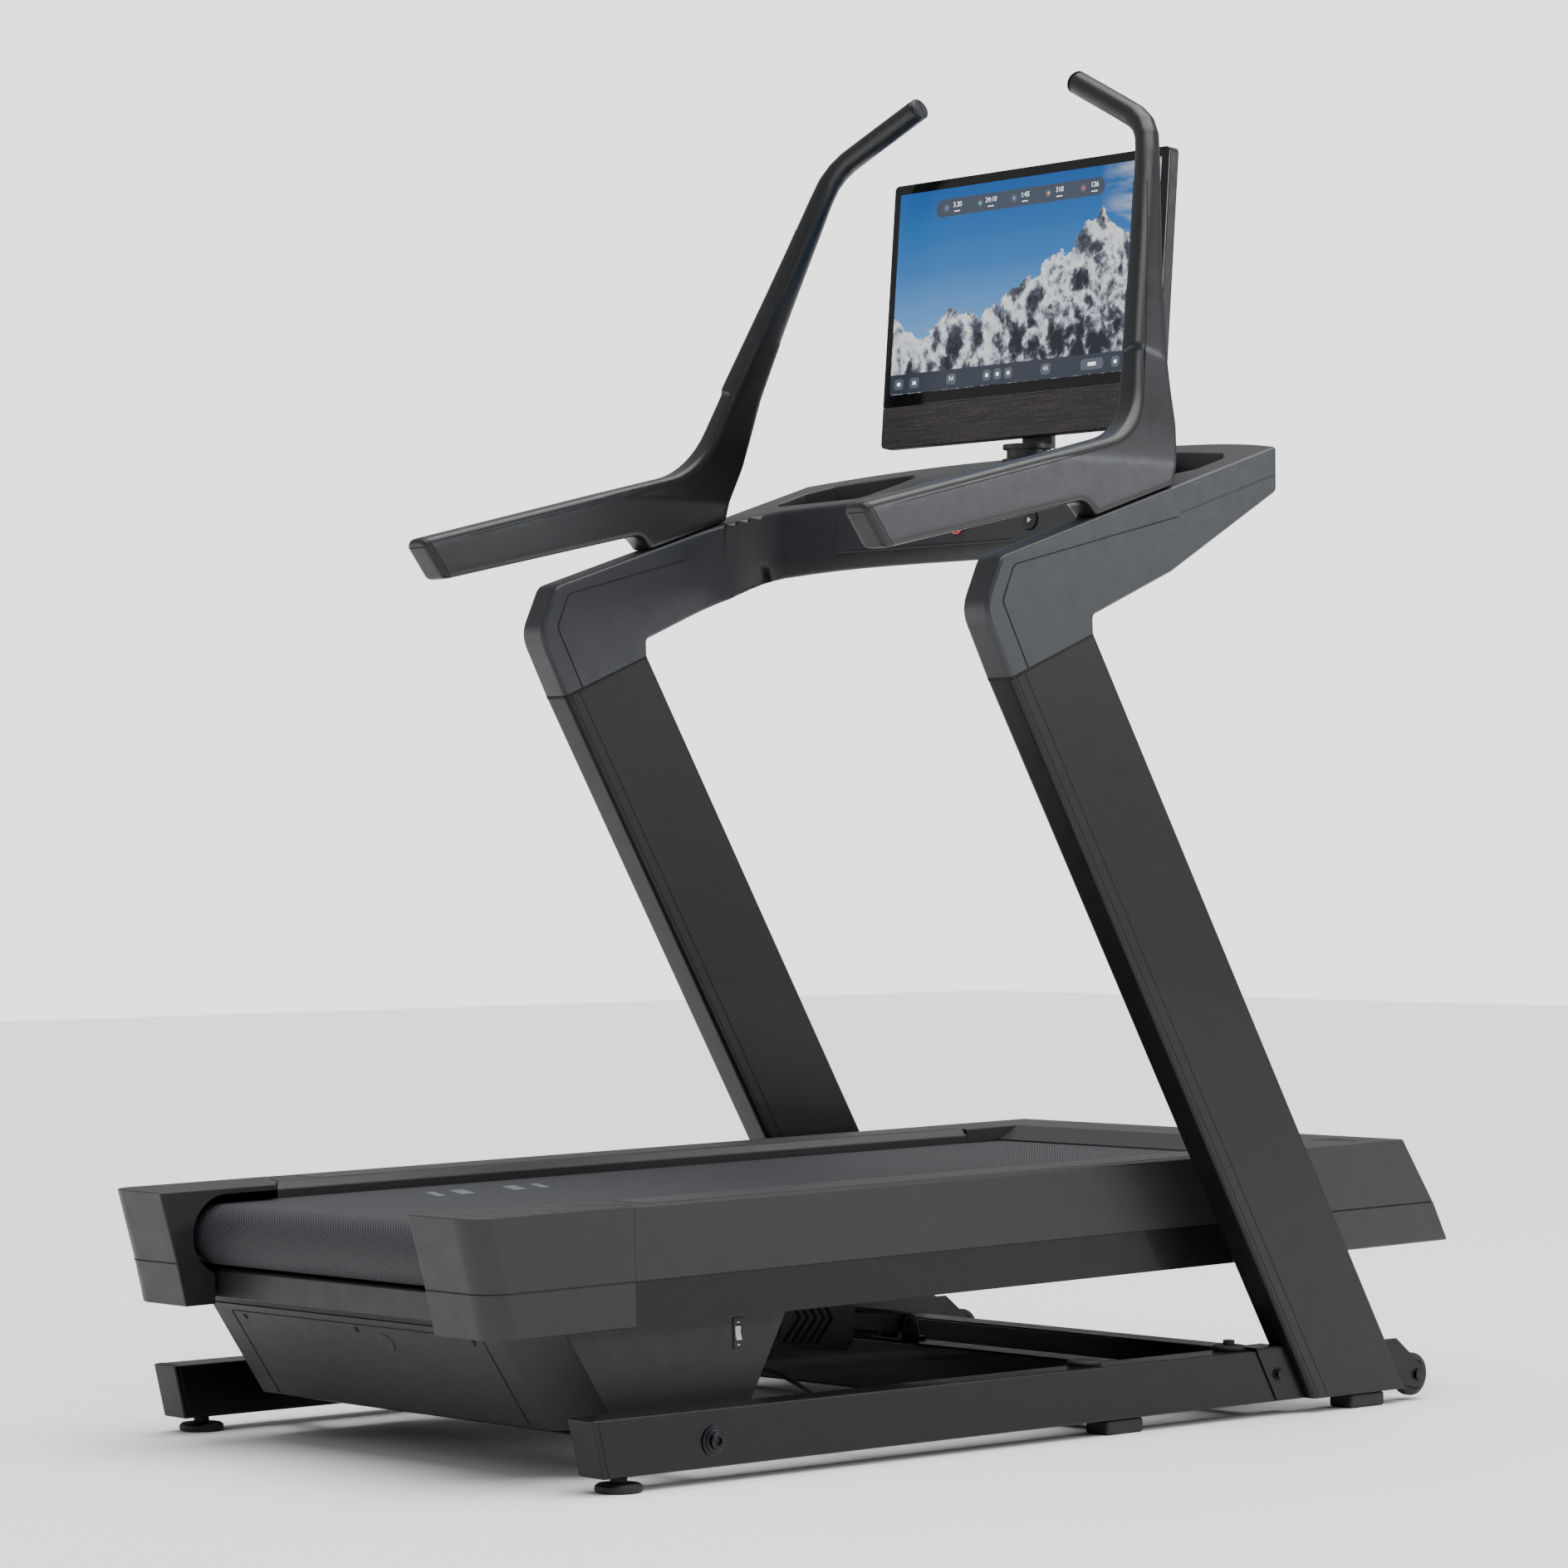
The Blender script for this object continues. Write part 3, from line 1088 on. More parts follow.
def picture_piece(plane):
    """The picture, its translucent bars and generic readings."""
    left, low = -PICTURE_W / 2, SPEAKER_H + PICTURE_LOW
    bm = bmesh.new()
    uv = bm.loops.layers.uv.new("picture")
    cols, rows = 24, 14
    grid = [[bm.verts.new((left + PICTURE_W * i / cols, -0.0002,
        low + PICTURE_H * j / rows)) for i in range(cols + 1)]
            for j in range(rows + 1)]
    for j in range(rows):
        for i in range(cols):
            made = bm.faces.new((grid[j][i], grid[j][i + 1], grid[j + 1][i + 1], grid[j + 1][i]))
            for loop, (a, b) in zip(made.loops, ((i, j), (i + 1, j), (i + 1, j + 1), (i, j + 1))):
                loop[uv].uv = (a / cols, b / rows)
    bm.transform(plane)
    piece("display_picture", bm, PICTURE, "display", weighted=False)
    pill_dark = glowing("screen_pill", (0.030, 0.040, 0.060), 1.0)
    chip_dark = glowing("screen_chip", (0.055, 0.065, 0.085), 1.0)
    white = glowing("screen_white", (0.85, 0.87, 0.90), 1.0)

    def flat(name, centre, size, radius, look, lift):
        """A thin rounded plate just in front of the picture."""
        cx, cz = centre
        w, h = size[0] / 2, size[1] / 2
        outline = rounded([(cx - w, cz - h), (cx + w, cz - h), (cx + w, cz + h), (cx - w, cz + h)], radius, 6)
        made = prism(outline, -0.0002 - lift - 0.0001, -0.0002 - lift, "Y")
        made.transform(plane)
        piece(name, made, look, "display", weighted=False)

    def reading(name, words, centre, size):
        """A generic number on the screen."""
        text = bpy.data.curves.new(name, "FONT")
        text.body = words
        text.size = size
        text.align_x = "CENTER"
        text.align_y = "CENTER"
        text.extrude = 0.00005
        mesh = baked(linked(name, text))
        at = Matrix.Translation((centre[0], -READING_PROUD, centre[1]))
        mesh.transform(plane @ at @ Matrix.Rotation(math.radians(90), 4, "X"))
        finish_piece(linked(name, mesh), white, "display")

    top = low + PICTURE_H
    pill_z = top - 0.0290
    flat("screen_pill", (-0.0150, pill_z), (0.345, 0.0260), 0.0129, pill_dark, 0.0001)
    lights = ((0.10, 0.10, 0.55), (0.03, 0.42, 0.30), (0.08, 0.18, 0.55), (0.55, 0.36, 0.05),
        (0.55, 0.05, 0.12))
    for i, (words, color) in enumerate(zip(("3.20", "24:10", "1:45", "310", "126"), lights)):
        x = -0.0150 - 0.134 + i * 0.070
        dot = glowing(f"screen_light_{i + 1}", color, 0.9)
        flat(f"screen_ring_{i + 1}", (x - 0.0165, pill_z), (0.0120, 0.0120), 0.0059, chip_dark, 0.0002)
        flat(f"screen_dot_{i + 1}", (x - 0.0165, pill_z), (0.0046, 0.0046), 0.0022, dot, 0.0003)
        reading(f"screen_reading_{i + 1}", words, (x + 0.0060, pill_z + 0.0030), 0.0105)
        flat(f"screen_rule_{i + 1}", (x + 0.0060, pill_z - 0.0065), (0.0120, 0.0014), 0.0006, white, 0.0003)
    bar_z = low + 0.0150
    shade = glowing("screen_shade", (0.016, 0.021, 0.032), 1.0)
    flat("screen_bar", (0.0, bar_z), (PICTURE_W - 0.0005, 0.0290), 0.0010, shade, 0.0001)
    for i, x in enumerate((-0.247, -0.214, -0.136, -0.062, -0.040, -0.018, 0.058, 0.150, 0.196, 0.236)):
        wide = 0.044 if i == 7 else 0.020 if i in (0, 1, 2, 6) else 0.0160
        flat(f"screen_chip_{i + 1}", (x, bar_z), (wide, 0.0160), 0.0050, chip_dark, 0.0002)
        if i in (2, 6):
            reading(f"screen_number_{i + 1}", "5.6" if i == 2 else "4.5", (x, bar_z + 0.0008), 0.0080)
        else:
            flat(f"screen_icon_{i + 1}", (x, bar_z), (wide * 0.36, 0.0050), 0.0008, white, 0.0003)


# ---------------------------------------------------------------- handles

def handle_shift(z):
    """How far a handle's middle plane stands inside the arm's, by height."""
    stations = [(1.290, 0.0), (1.345, -0.0150), (1.390, -0.0280), (1.440, -0.0410), (1.580, -0.0793),
        (1.760, -0.1300)]
    if z <= stations[0][0]:
        return 0.0
    for (z0, s0), (z1, s1) in zip(stations, stations[1:]):
        if z <= z1:
            t = (z - z0) / (z1 - z0)
            return s0 + (s1 - s0) * t
    return stations[-1][1]


def handle_outline():
    """The handle from the side: arm with its end, elbow, grip and the root on the console."""
    gap = 0.0006
    return rounded([
        (-0.3345, 1.2118, 0.0085), (0.1760, 1.3335, 0.105), (0.2155, 1.4450, 0), (0.2490, 1.5400, 0),
        (0.2930, 1.5240, 0), (0.2735, 1.4400, 0.15), (0.2580, 1.3400, 0.10),
        (0.2350, console_top(0.2350) + gap, 0),
        (0.0880, console_top(0.0880) + gap, 0), (0.0690, 1.2335, 0.024), (-0.2925, 1.1563, 0.0100)], 0.0, 10)


def on_upper_edge(edge):
    """Whether an edge of the handle's side view belongs to its top and rear side, which the hand rests on."""
    y, z = ((edge.verts[0].co + edge.verts[1].co) / 2).yz
    return z > 1.2050 + 0.238 * (y + 0.3238) and y < 0.2020 + 0.36 * max(z - 1.3335, 0.0)


def grip_rings(count=28):
    """Rings of the leaning grip: a rounded oblong that turns round towards the tip."""
    places = [Vector(station[:3]) for station in GRIP]
    rings = []
    for i, station in enumerate(GRIP):
        along = (places[min(i + 1, len(places) - 1)] - places[max(i - 1, 0)]).normalized()
        deep = (Vector((0, 1, 0)) - along * along.y).normalized()
        wide = along.cross(deep)
        power = (0.42, 0.62, 0.85)[i] if i < 3 else 1.0
        ring = []
        for k in range(count):
            t = 2 * math.pi * k / count
            a = math.copysign(abs(math.cos(t)) ** power, math.cos(t))
            b = math.copysign(abs(math.sin(t)) ** power, math.sin(t))
            ring.append(places[i] + wide * station[3] * a + deep * station[4] * b)
        rings.append(ring)
    return rings


def handles():
    """Both handles, cut from one smooth skin into the grip and its end, with seams traced on the skin."""
    arm_low, arm_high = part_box("handle_end_cap_right")
    centre, half = (arm_low.x + arm_high.x) / 2, (arm_high.x - arm_low.x) / 2
    bm = prism(handle_outline(), -half, half)
    bm = soften(bm, 0.0100, 5, 40, on_upper_edge, False)
    bm = soften(bm, 0.0045, 3, 50, lambda edge: not on_upper_edge(edge) and abs(
        edge.verts[0].co.x - edge.verts[1].co.x) < 0.001, False)
    rows = 40
    for k in range(1, rows):
        z = 1.26 + (1.545 - 1.26) * k / rows
        geom = bm.verts[:] + bm.edges[:] + bm.faces[:]
        bmesh.ops.bisect_plane(bm, geom=geom, plane_co=(0, 0, z), plane_no=(0, 0, 1))
    for vert in bm.verts:
        z = vert.co.z
        narrow = min(max((z - 1.30) / 0.15, 0.0), 1.0)
        narrow = narrow * narrow * (3 - 2 * narrow)
        vert.co.x = vert.co.x * (1 - 0.19 * narrow) + centre + handle_shift(z)
    bmesh.ops.triangulate(bm, faces=bm.faces[:])
    skin = melted(merged(bm, loft(grip_rings())), 0.0021, 22)
    tree = BVHTree.FromBMesh(skin)
    places = [
        (-0.3230, 1.2022), (-0.20, 1.2316), (-0.08, 1.2602), (0.03, 1.2864), (0.10, 1.3035), (0.1450, 1.3170),
        (0.1790, 1.3400), (0.2000, 1.3700), (0.2165, 1.4100), (0.2330, 1.4600), (0.2560, 1.5300),
        (0.2820, 1.6100),
        (0.3080, 1.6900)]
    lines = [smooth_line([surface(tree, y, z, facing) for y, z in places]) for facing in (1, -1)]
    end, low = Vector((0, -0.3345, 1.2118)), Vector((0, -0.2925, 1.1563))
    out = Vector((0, -(end - low).z, (end - low).y)).normalized()
    out = out if out.y < 0 else -out
    split = end - out * 0.0115
    across = []
    for k in range(-8, 9):
        hit = tree.ray_cast(Vector((centre + k * (half - 0.003) / 8, -0.40, 1.2008)), Vector((0, 1, 0)))
        if hit[0] is not None:
            across.append(hit[0] + out * 0.0001)
    for word, side in sides():
        parts = []
        for keep in (1, -1):
            part = skin.copy()
            geom = part.verts[:] + part.edges[:] + part.faces[:]
            cut = bmesh.ops.bisect_plane(
                part, geom=geom, plane_co=split - out * 0.0004 * keep, plane_no=out * keep,
                clear_outer=True)["geom_cut"]
            rim = [item for item in cut if isinstance(item, bmesh.types.BMEdge)]
            bmesh.ops.contextual_create(part, geom=rim)
            parts.append(flipped(part, side))
        piece(f"handle_grip_{word}", parts[0], GRIP_SKIN, "base", [f"handle_{word}"], 50,
            False)
        piece(f"handle_end_{word}", parts[1], DARK, "base", [f"handle_end_cap_{word}"], 50,
            False)
        mirrored = [[(side * p.x, p.y, p.z) for p in points] for points in (*lines, across)]
        seam(f"handle_seam_{word}", mirrored, "base", 0.0007)
        tip_plug(word, side)
    skin.free()


def smooth_line(points, steps=4):
    """A Catmull-Rom line through the points that were hit."""
    points = [point for point in points if point is not None]
    made = []
    for i in range(len(points) - 1):
        before, after = points[max(i - 1, 0)], points[min(i + 2, len(points) - 1)]
        for k in range(steps):
            t = k / steps
            made.append(0.5 * (
                2 * points[i] + (points[i + 1] - before) * t
                + (2 * before - 5 * points[i] + 4 * points[i + 1] - after) * t ** 2
                + (3 * points[i] - before - 3 * points[i + 1] + after) * t ** 3))
    made.append(points[-1])
    return made


def surface(tree, y, z, side):
    """The handle's outer (side 1) or inner (side -1) surface at a place seen from the side."""
    start = Vector((0.60 if side > 0 else 0.20, y, z))
    hit = tree.ray_cast(start, Vector((-side, 0, 0)))
    return hit[0] if hit[0] is not None else None


def tip_plug(word, side):
    """The round plug at the grip's tip, in two halves."""
    tip, before = Vector(GRIP[-1][:3]), Vector(GRIP[-2][:3])
    along = (tip - before).normalized()
    bm = turned([(0.0004, 0.0166), (0.0022, 0.0164), (0.0040, 0.0150), (0.0050, 0.0125)], tip, along, 44)
    piece(f"handle_tip_{word}", flipped(bm, side), CHARCOAL, "base",
        [f"handle_tip_plug_{word}"])
    cross = Vector((0, 0, 1)).cross(along).normalized()
    up = along.cross(cross)
    ends = [tip + along * 0.0051 + up * 0.0120 * s for s in (-1, 1)]
    seam(f"handle_tip_seam_{word}", [[(side * p.x, p.y, p.z) for p in ends]], "base", 0.0005)


# ---------------------------------------------------------------- running deck

def deck_rails():
    """The steel rails that show under the side covers."""
    for word, side in sides():
        low = deck_box(f"deck_rail_{word}")[0]
        hood_rear = deck_box("hood_lower")[0].y
        first, last = sorted((side * RAIL_INNER_X, side * RAIL_OUTER_X))
        bm = block((first, low.y, low.z), (last, hood_rear - 0.0004, RAIL_TOP_Z))
        piece(f"deck_rail_coated_{word}", on_deck(soften(bm, 0.0030, 3)), STEEL, "deck")
        refined(f"deck_rail_{word}", 0.0, STEEL)


def cap_notch(front, grow=0.0):
    """The part of a cap's inner corner that is cut away, where the side cover's tail shows."""
    return [
        (0.2500, -0.1300 + grow), (0.2620, -0.1300 + grow), (0.3000, -0.0980 + grow),
        (0.3480, -0.0760 + grow),
        (0.3650, front), (0.2500, front)]


def side_covers():
    """The foot rails' covers, with their tails under the end caps and the ribbed strips on top."""
    for word, side in sides():
        low, high = deck_box(f"side_cover_{word}")
        cap_front, hood_rear = low.y + 0.0002, high.y - 0.0006
        outer, inner, top = COVER_OUTER_X, COVER_INNER_X, high.z
        outline = rounded([
            (inner, 0.2650, 0), (inner, top - 0.0095, 0.003), (inner + 0.0110, top, 0.006),
            (outer, top, 0.0045),
            (outer, 0.1937, 0.0008), (outer - 0.0040, 0.1937, 0), (outer - 0.0040, top - 0.006, 0),
            (inner + 0.012, top - 0.006, 0), (inner + 0.0045, 0.2650, 0)], 0.0, 5)
        bm = prism(outline, cap_front, hood_rear, "Y")
        tail = combined(prism(outline, -0.140, cap_front + 0.0003, "Y"),
                        [prism(cap_notch(cap_front + 0.01, 0.0007), 0.1, 0.4, "Z")], "INTERSECT")
        piece(f"side_cover_{word}_moulded", on_deck(flipped(merged(bm, tail), side)), COVER, "deck",
              [f"side_cover_{word}"], 25)
        strip = block((inner + 0.020, cap_front + 0.030, top - 0.0008),
            (outer - 0.012, hood_rear - 0.006, top + 0.0006))
        strip = soften(strip, 0.0005, 2)
        piece(f"foot_rail_grip_{word}", on_deck(flipped(strip, side)), RIBS, "deck")


def cap_plan(rear, front):
    """An end cap from above, on the right."""
    outer, inner = COVER_OUTER_X, 0.2620
    return rounded([(inner, front, 0), (inner, rear, 0.002), (outer, rear, CAP_CORNER_R), (outer, front, 0)],
        0.0, 12)


def end_caps():
    """The rear corners in an upper and a lower half, hollowed round the belt's end."""
    for word, side in sides():
        for node, low_lean, upper in (
                (f"end_cap_{word}", CAP_LEAN, True), (f"end_cap_lower_{word}", CAP_LOW_LEAN, False)):
            low, high = deck_box(node)
            beyond = high.y + 0.01
            bm = prism(cap_plan(low.y, high.y), low.z, high.z, "Z")
            for vert in bm.verts:
                if vert.co.y < low.y + 0.10:
                    vert.co.y += low_lean * (high.z - vert.co.z) / (high.z - low.z)
            set_in = low.y + CAP_WALL_Y
            notch = cap_notch(beyond) if upper else [
                (0.25, set_in), (0.3600, set_in), (0.3600, beyond), (0.25, beyond)]
            bm = combined(bm, [prism(notch, low.z - 0.01, high.z + 0.01, "Z")], "DIFFERENCE")
            roller_low, roller_high = deck_box("rear_roller")
            centre = (roller_low + roller_high) / 2
            mouth = [(centre.y + CAP_MOUTH_R * math.cos(t), centre.z + CAP_MOUTH_R * math.sin(t)) for t in (
                math.radians(90 + 180 * i / 24) for i in range(25))]
            mouth += [(beyond, centre.z - CAP_MOUTH_R), (beyond, centre.z + CAP_MOUTH_R)]
            bm = combined(bm, [prism(mouth, 0.250, 0.2915)], "DIFFERENCE")
            if upper:
                room = [(set_in, low.z - 0.01), (beyond, low.z - 0.01), (beyond, high.z - 0.004),
                    (set_in, high.z - 0.004)]
                bm = combined(bm, [prism(room, 0.2900, 0.3790)], "DIFFERENCE")
            edge_z = high.z if upper else low.z
            bm = soften(bm, 0.0026, 3, 40,
                lambda edge: all(abs(vert.co.z - edge_z) < 1e-4 for vert in edge.verts))
            piece(f"{node}_moulded", on_deck(flipped(bm, side)), COVER, "deck",
                  [node], 32)
        low, high = deck_box(f"end_cap_{word}")
        ring = cap_plan(low.y + CAP_LEAN - 0.0002, high.y)
        line = [(0.2619, -0.2630)] + [(x + 0.0001, y) for x, y in ring[1:]]
        seam(f"end_cap_seam_{word}", [deck_points([(side * x, y, low.z) for x, y in line])], "deck", 0.0009)


def motor_hood():
    """The front hood's upper and lower halves, with the pocket that the belt runs into."""
    low, high = deck_box("motor_hood")
    rear, seam_y, top = low.y, high.y, high.z
    seam_z = deck_box("hood_lower")[1].z + 0.0006
    half = high.x
    front_top = seam_y - HOOD_TOP_SET
    mouth, mouth_top = rear + 0.0680, rear + 0.1080
    bm = prism([(rear, seam_z), (rear, top), (front_top, top), (seam_y, seam_z)], -half, half)
    pocket = prism([
        (-0.2855, rear - 0.01), (0.2855, rear - 0.01), (0.2855, mouth - 0.004), (-0.2855, mouth - 0.004)],
        0.15, top + 0.01, "Z")
    slope = prism([
        (mouth - 0.01, 0.2695), (mouth, 0.2695), (mouth_top, top), (mouth_top, top + 0.02),
        (mouth - 0.01, top + 0.02)],
        -0.2855, 0.2855)
    under = prism([(rear - 0.01, seam_z - 0.01), (rear - 0.01, 0.2650), (seam_y - 0.075, 0.2650),
        (seam_y - 0.045, seam_z - 0.01)],
                  -half + 0.005, half - 0.005)
    bm = combined(bm, [pocket, slope, under], "DIFFERENCE")
    bm = soften(bm, 0.0042, 3, 18, lambda edge: min(vert.co.z for vert in edge.verts) > 0.262 or (
        max(vert.co.y for vert in edge.verts) > seam_y - 0.070 and edge.calc_length() > 0.05 and
        min(abs(vert.co.x) for vert in edge.verts) > half - 0.001))
    piece("motor_hood_moulded", on_deck(bm), HOOD_SKIN, "deck", ["motor_hood"], 28)

    low, high = deck_box("hood_lower")
    outline = [(low.y, low.z), (low.y, high.z), (seam_y + 0.0016, high.z), (seam_y + HOOD_LOW_SET, low.z)]
    bm = prism(outline, -half, half)
    room = prism([
        (low.y - 0.01, low.z + 0.004), (low.y - 0.01, high.z + 0.01), (seam_y - 0.006, high.z + 0.01),
        (seam_y + HOOD_LOW_SET - 0.012, low.z + 0.004)], -half + 0.005, half - 0.005)
    bm = combined(bm, [room], "DIFFERENCE")
    bm = soften(bm, 0.0036, 3, 30, lambda edge: edge.calc_length() > 0.03 and (
        max(abs(vert.co.x) for vert in edge.verts) > half - 0.001) and (
            min(vert.co.z for vert in edge.verts) < high.z - 0.001))
    piece("hood_lower_moulded", on_deck(bm), HOOD_SKIN, "deck", ["hood_lower"], 28)
    for word, side in sides():
        step = [(side * (half + 0.0001), y, high.z + 0.0003) for y in (low.y + 0.01, seam_y)]
        seam(f"hood_seam_{word}", [deck_points(step)], "deck", 0.0006)
    inset = prism([(0.285, seam_y - 0.152), (0.352, seam_y - 0.128), (0.300, seam_y - 0.116)], top - 0.001,
        top + 0.0003, "Z")
    piece("hood_inset", on_deck(inset), SEAM, "deck", weighted=False)


def belt():
    """The belt's loop with its weave in surface coordinates, and the printed marks on it."""
    low, high = deck_box("running_belt")
    radius = (high.z - low.z) / 2
    centre_z = (high.z + low.z) / 2
    rear, front = low.y + radius, high.y - radius
    loop = []
    steps = 28
    for i in range(steps + 1):
        t = math.radians(90 + 180 * i / steps)
        loop.append((rear + radius * math.cos(t), centre_z + radius * math.sin(t)))
    for i in range(steps + 1):
        t = math.radians(-90 + 180 * i / steps)
        loop.append((front + radius * math.cos(t), centre_z + radius * math.sin(t)))
    half = high.x
    lanes = [-half, -half + 0.0012, half - 0.0012, half]
    bm = bmesh.new()
    uv = bm.loops.layers.uv.new("surface")
    length = [0.0]
    for first, second in zip(loop, loop[1:] + loop[:1]):
        length.append(length[-1] + math.dist(first, second))
    rings = []
    for inset in (0.0, BELT_T):
        ring = []
        for y, z in loop:
            near = rear if y < (rear + front) / 2 else front
            away = Vector((y - near, z - centre_z)).normalized()
            ring.append([bm.verts.new((x, y - away.x * inset, z - away.y * inset)) for x in lanes])
        rings.append(ring)
    count = len(loop)
    for ring in rings:
        for i in range(count):
            n = (i + 1) % count
            for k in range(len(lanes) - 1):
                made = bm.faces.new((ring[i][k], ring[i][k + 1], ring[n][k + 1], ring[n][k]))
                spots = ((lanes[k], length[i]), (lanes[k + 1], length[i]), (lanes[k + 1], length[i + 1]),
                    (lanes[k], length[i + 1]))
                for loop_corner, spot in zip(made.loops, spots):
                    loop_corner[uv].uv = spot
    for k in (0, len(lanes) - 1):
        for i in range(count):
            n = (i + 1) % count
            bm.faces.new((rings[0][i][k], rings[0][n][k], rings[1][n][k], rings[1][i][k]))
    piece("belt_loop", on_deck(bm), BELT, "deck", ["running_belt"], 50, False)
    top = high.z
    for number, (near, width) in enumerate(((0.069, 0.014), (0.109, 0.024), (0.199, 0.022), (0.247, 0.014))):
        outline = [(-0.198, near), (-0.134, near - 0.029), (-0.134, near + width - 0.029),
            (-0.198, near + width)]
        mark = prism(outline, top - 0.0004, top + 0.00025, "Z")
        piece(f"belt_mark_{number + 1}", on_deck(mark), MARK, "deck", weighted=False)


def rear_channel():
    """The steel channel across the rear, under the belt's end."""
    low, high = deck_box("rear_channel")
    outline = [
        (high.y, low.z), (low.y + 0.010, low.z), (low.y, low.z + 0.008), (low.y, high.z - 0.003),
        (low.y + 0.003, high.z),
        (high.y, high.z)]
    piece("rear_channel_coated", on_deck(soften(prism(outline, low.x, high.x), 0.0010, 2)), BELLY, "deck",
        ["rear_channel"])
    tub_low, tub_high = deck_box("belly_cover")
    filler = block((low.x + 0.004, tub_low.y + 0.006, tub_high.z - 0.001),
        (high.x - 0.004, high.y - 0.001, low.z + 0.001))
    piece("channel_packing", on_deck(soften(filler, 0.0008, 1)), DARK, "deck")


def belly():
    """The tub's faceted shell, its access panel lines, screws, plug and the switch's frame."""
    refined("belly_cover", 0.0022, BELLY, 2, 20, 18, 0.2)
    low, high = deck_box("belly_cover")
    rear_top, rear_low = low.y, low.y + BELLY_LEAN
    wall = 0.3500

    def back(x, share, out=0.0002):
        """A place on the sloped rear face, share 0 at the top."""
        y = rear_top + (rear_low - rear_top) * share
        z = high.z + (low.z - high.z) * share
        lean = Vector((0.0, -(high.z - low.z), -(rear_low - rear_top))).normalized()
        return Vector((x, y, z)) + lean * out

    lines = [
        [back(-0.262, 0.07), back(0.262, 0.07)], [back(-0.262, 0.07), back(-0.262, 0.985)],
        [back(0.262, 0.07), back(0.262, 0.985)]]
    seam("belly_panel_seam", [deck_points(line) for line in lines], "deck", 0.0007)
    out = Vector((0.0, -(high.z - low.z), -(rear_low - rear_top))).normalized()
    screws = [
        turned([(0.0, 0.0042), (0.0009, 0.0040), (0.0014, 0.0030)], back(x, 0.13), out, 20) for x in (-0.240,
        0.0, 0.240)]
    piece("belly_screws", on_deck(merged(*screws)), BOLT, "deck")
    plug = turned([(0.0, 0.0145), (0.0006, 0.0142), (0.0010, 0.0130)], back(0.052, 0.24), out, 36)
    piece("belly_plug", on_deck(plug), BELLY, "deck")
    side_line = []
    for _, side in sides():
        facet = [
            Vector((side * (wall + 0.0002), rear_top + BELLY_FACET, high.z)),
            Vector((side * (wall + 0.0002), rear_low + BELLY_FACET, low.z))]
        side_line.append(deck_points(facet))
    seam("belly_facet_line", side_line, "deck", 0.0005)
    rocker()


def rocker():
    """The switch: a black frame with generic marks, and the pale rocker."""
    low, high = deck_box("power_rocker")
    centre = Vector((0.3500, (low.y + high.y) / 2, (low.z + high.z) / 2))
    half_w, half_h = 0.0080, 0.0195
    outer = soften(block(
        centre + Vector((-0.0002, -half_w, -half_h)), centre + Vector((0.0016, half_w, half_h))), 0.0008, 2)
    hole = block(centre + Vector((-0.01, -0.0053, -0.0104)), centre + Vector((0.01, 0.0053, 0.0104)))
    piece("switch_frame", on_deck(combined(outer, [hole], "DIFFERENCE")), DARK, "deck")
    marks = [
        block(centre + Vector((0.0016, -0.0022, 0.0128)), centre + Vector((0.0018, 0.0022, 0.0142))),
        block(centre + Vector((0.0016, -0.0022, -0.0158)), centre + Vector((0.0018, 0.0022, -0.0144)))]
    piece("switch_marks", on_deck(merged(*marks)), LIGHT, "deck", weighted=False)
    refined("power_rocker", 0.0006, LIGHT, 2, 40)


def inner_works():
    """Pieces inside the covers keep their CAD shape with softened edges and real surfaces."""
    for node, width, look, slot, segments, angle in (
            ("lift_frame", 0.0010, STEEL, "black_steel", 2, 40),
            ("drive_motor", 0.0015, STEEL, "bare_steel", 2, 40),
            ("deck_board", 0.0010, BOARD, "board", 2, 35), ("drive_belt", 0.0, RUBBER, "rubber", 2, 35),
            ("front_roller", 0.0006, BARE, "bare_steel", 2, 50),
            ("rear_roller", 0.0006, BARE, "bare_steel", 2, 50),
            ("motor_pulley", 0.0005, BARE, "bare_steel", 2, 50),
            ("actuator_clevis", 0.0010, STEEL, "black_steel", 2, 40),
            ("lift_rod", 0.0008, BARE, "bare_steel", 2, 50),
            ("lift_motor", 0.0022, DARK, "dark_plastic", 3, 40)):
        refined(node, width, look, segments, angle)
    chevrons()


def chevrons():
    """Vent slats on the lift motor's sides and top, standing a little off its skin."""
    start = Vector(JOINTS["actuator_swing"]["pos_m"])
    along = -Vector(JOINTS["rod_extend"]["axis"])
    up = Vector((0, -along.z, along.y))
    up = up if up.z > 0 else -up
    half = 0.0453
    lines = []
    for x in (-half, half):
        for i in range(5):
            reach = -0.170 - i * 0.015
            points = [(reach - 0.026, 0.036), (reach, 0.004), (reach - 0.026, -0.030)]
            lines.append([start + along * a + up * b + Vector((x, 0, 0)) for a, b in points])
    for i in range(7):
        reach = -0.142 - i * 0.014
        lines.append([start + along * reach + up * 0.0443 + Vector((x, 0, 0)) for x in (-0.036, 0.036)])
    seam("lift_motor_vents", lines, "lift_motor", 0.0026)


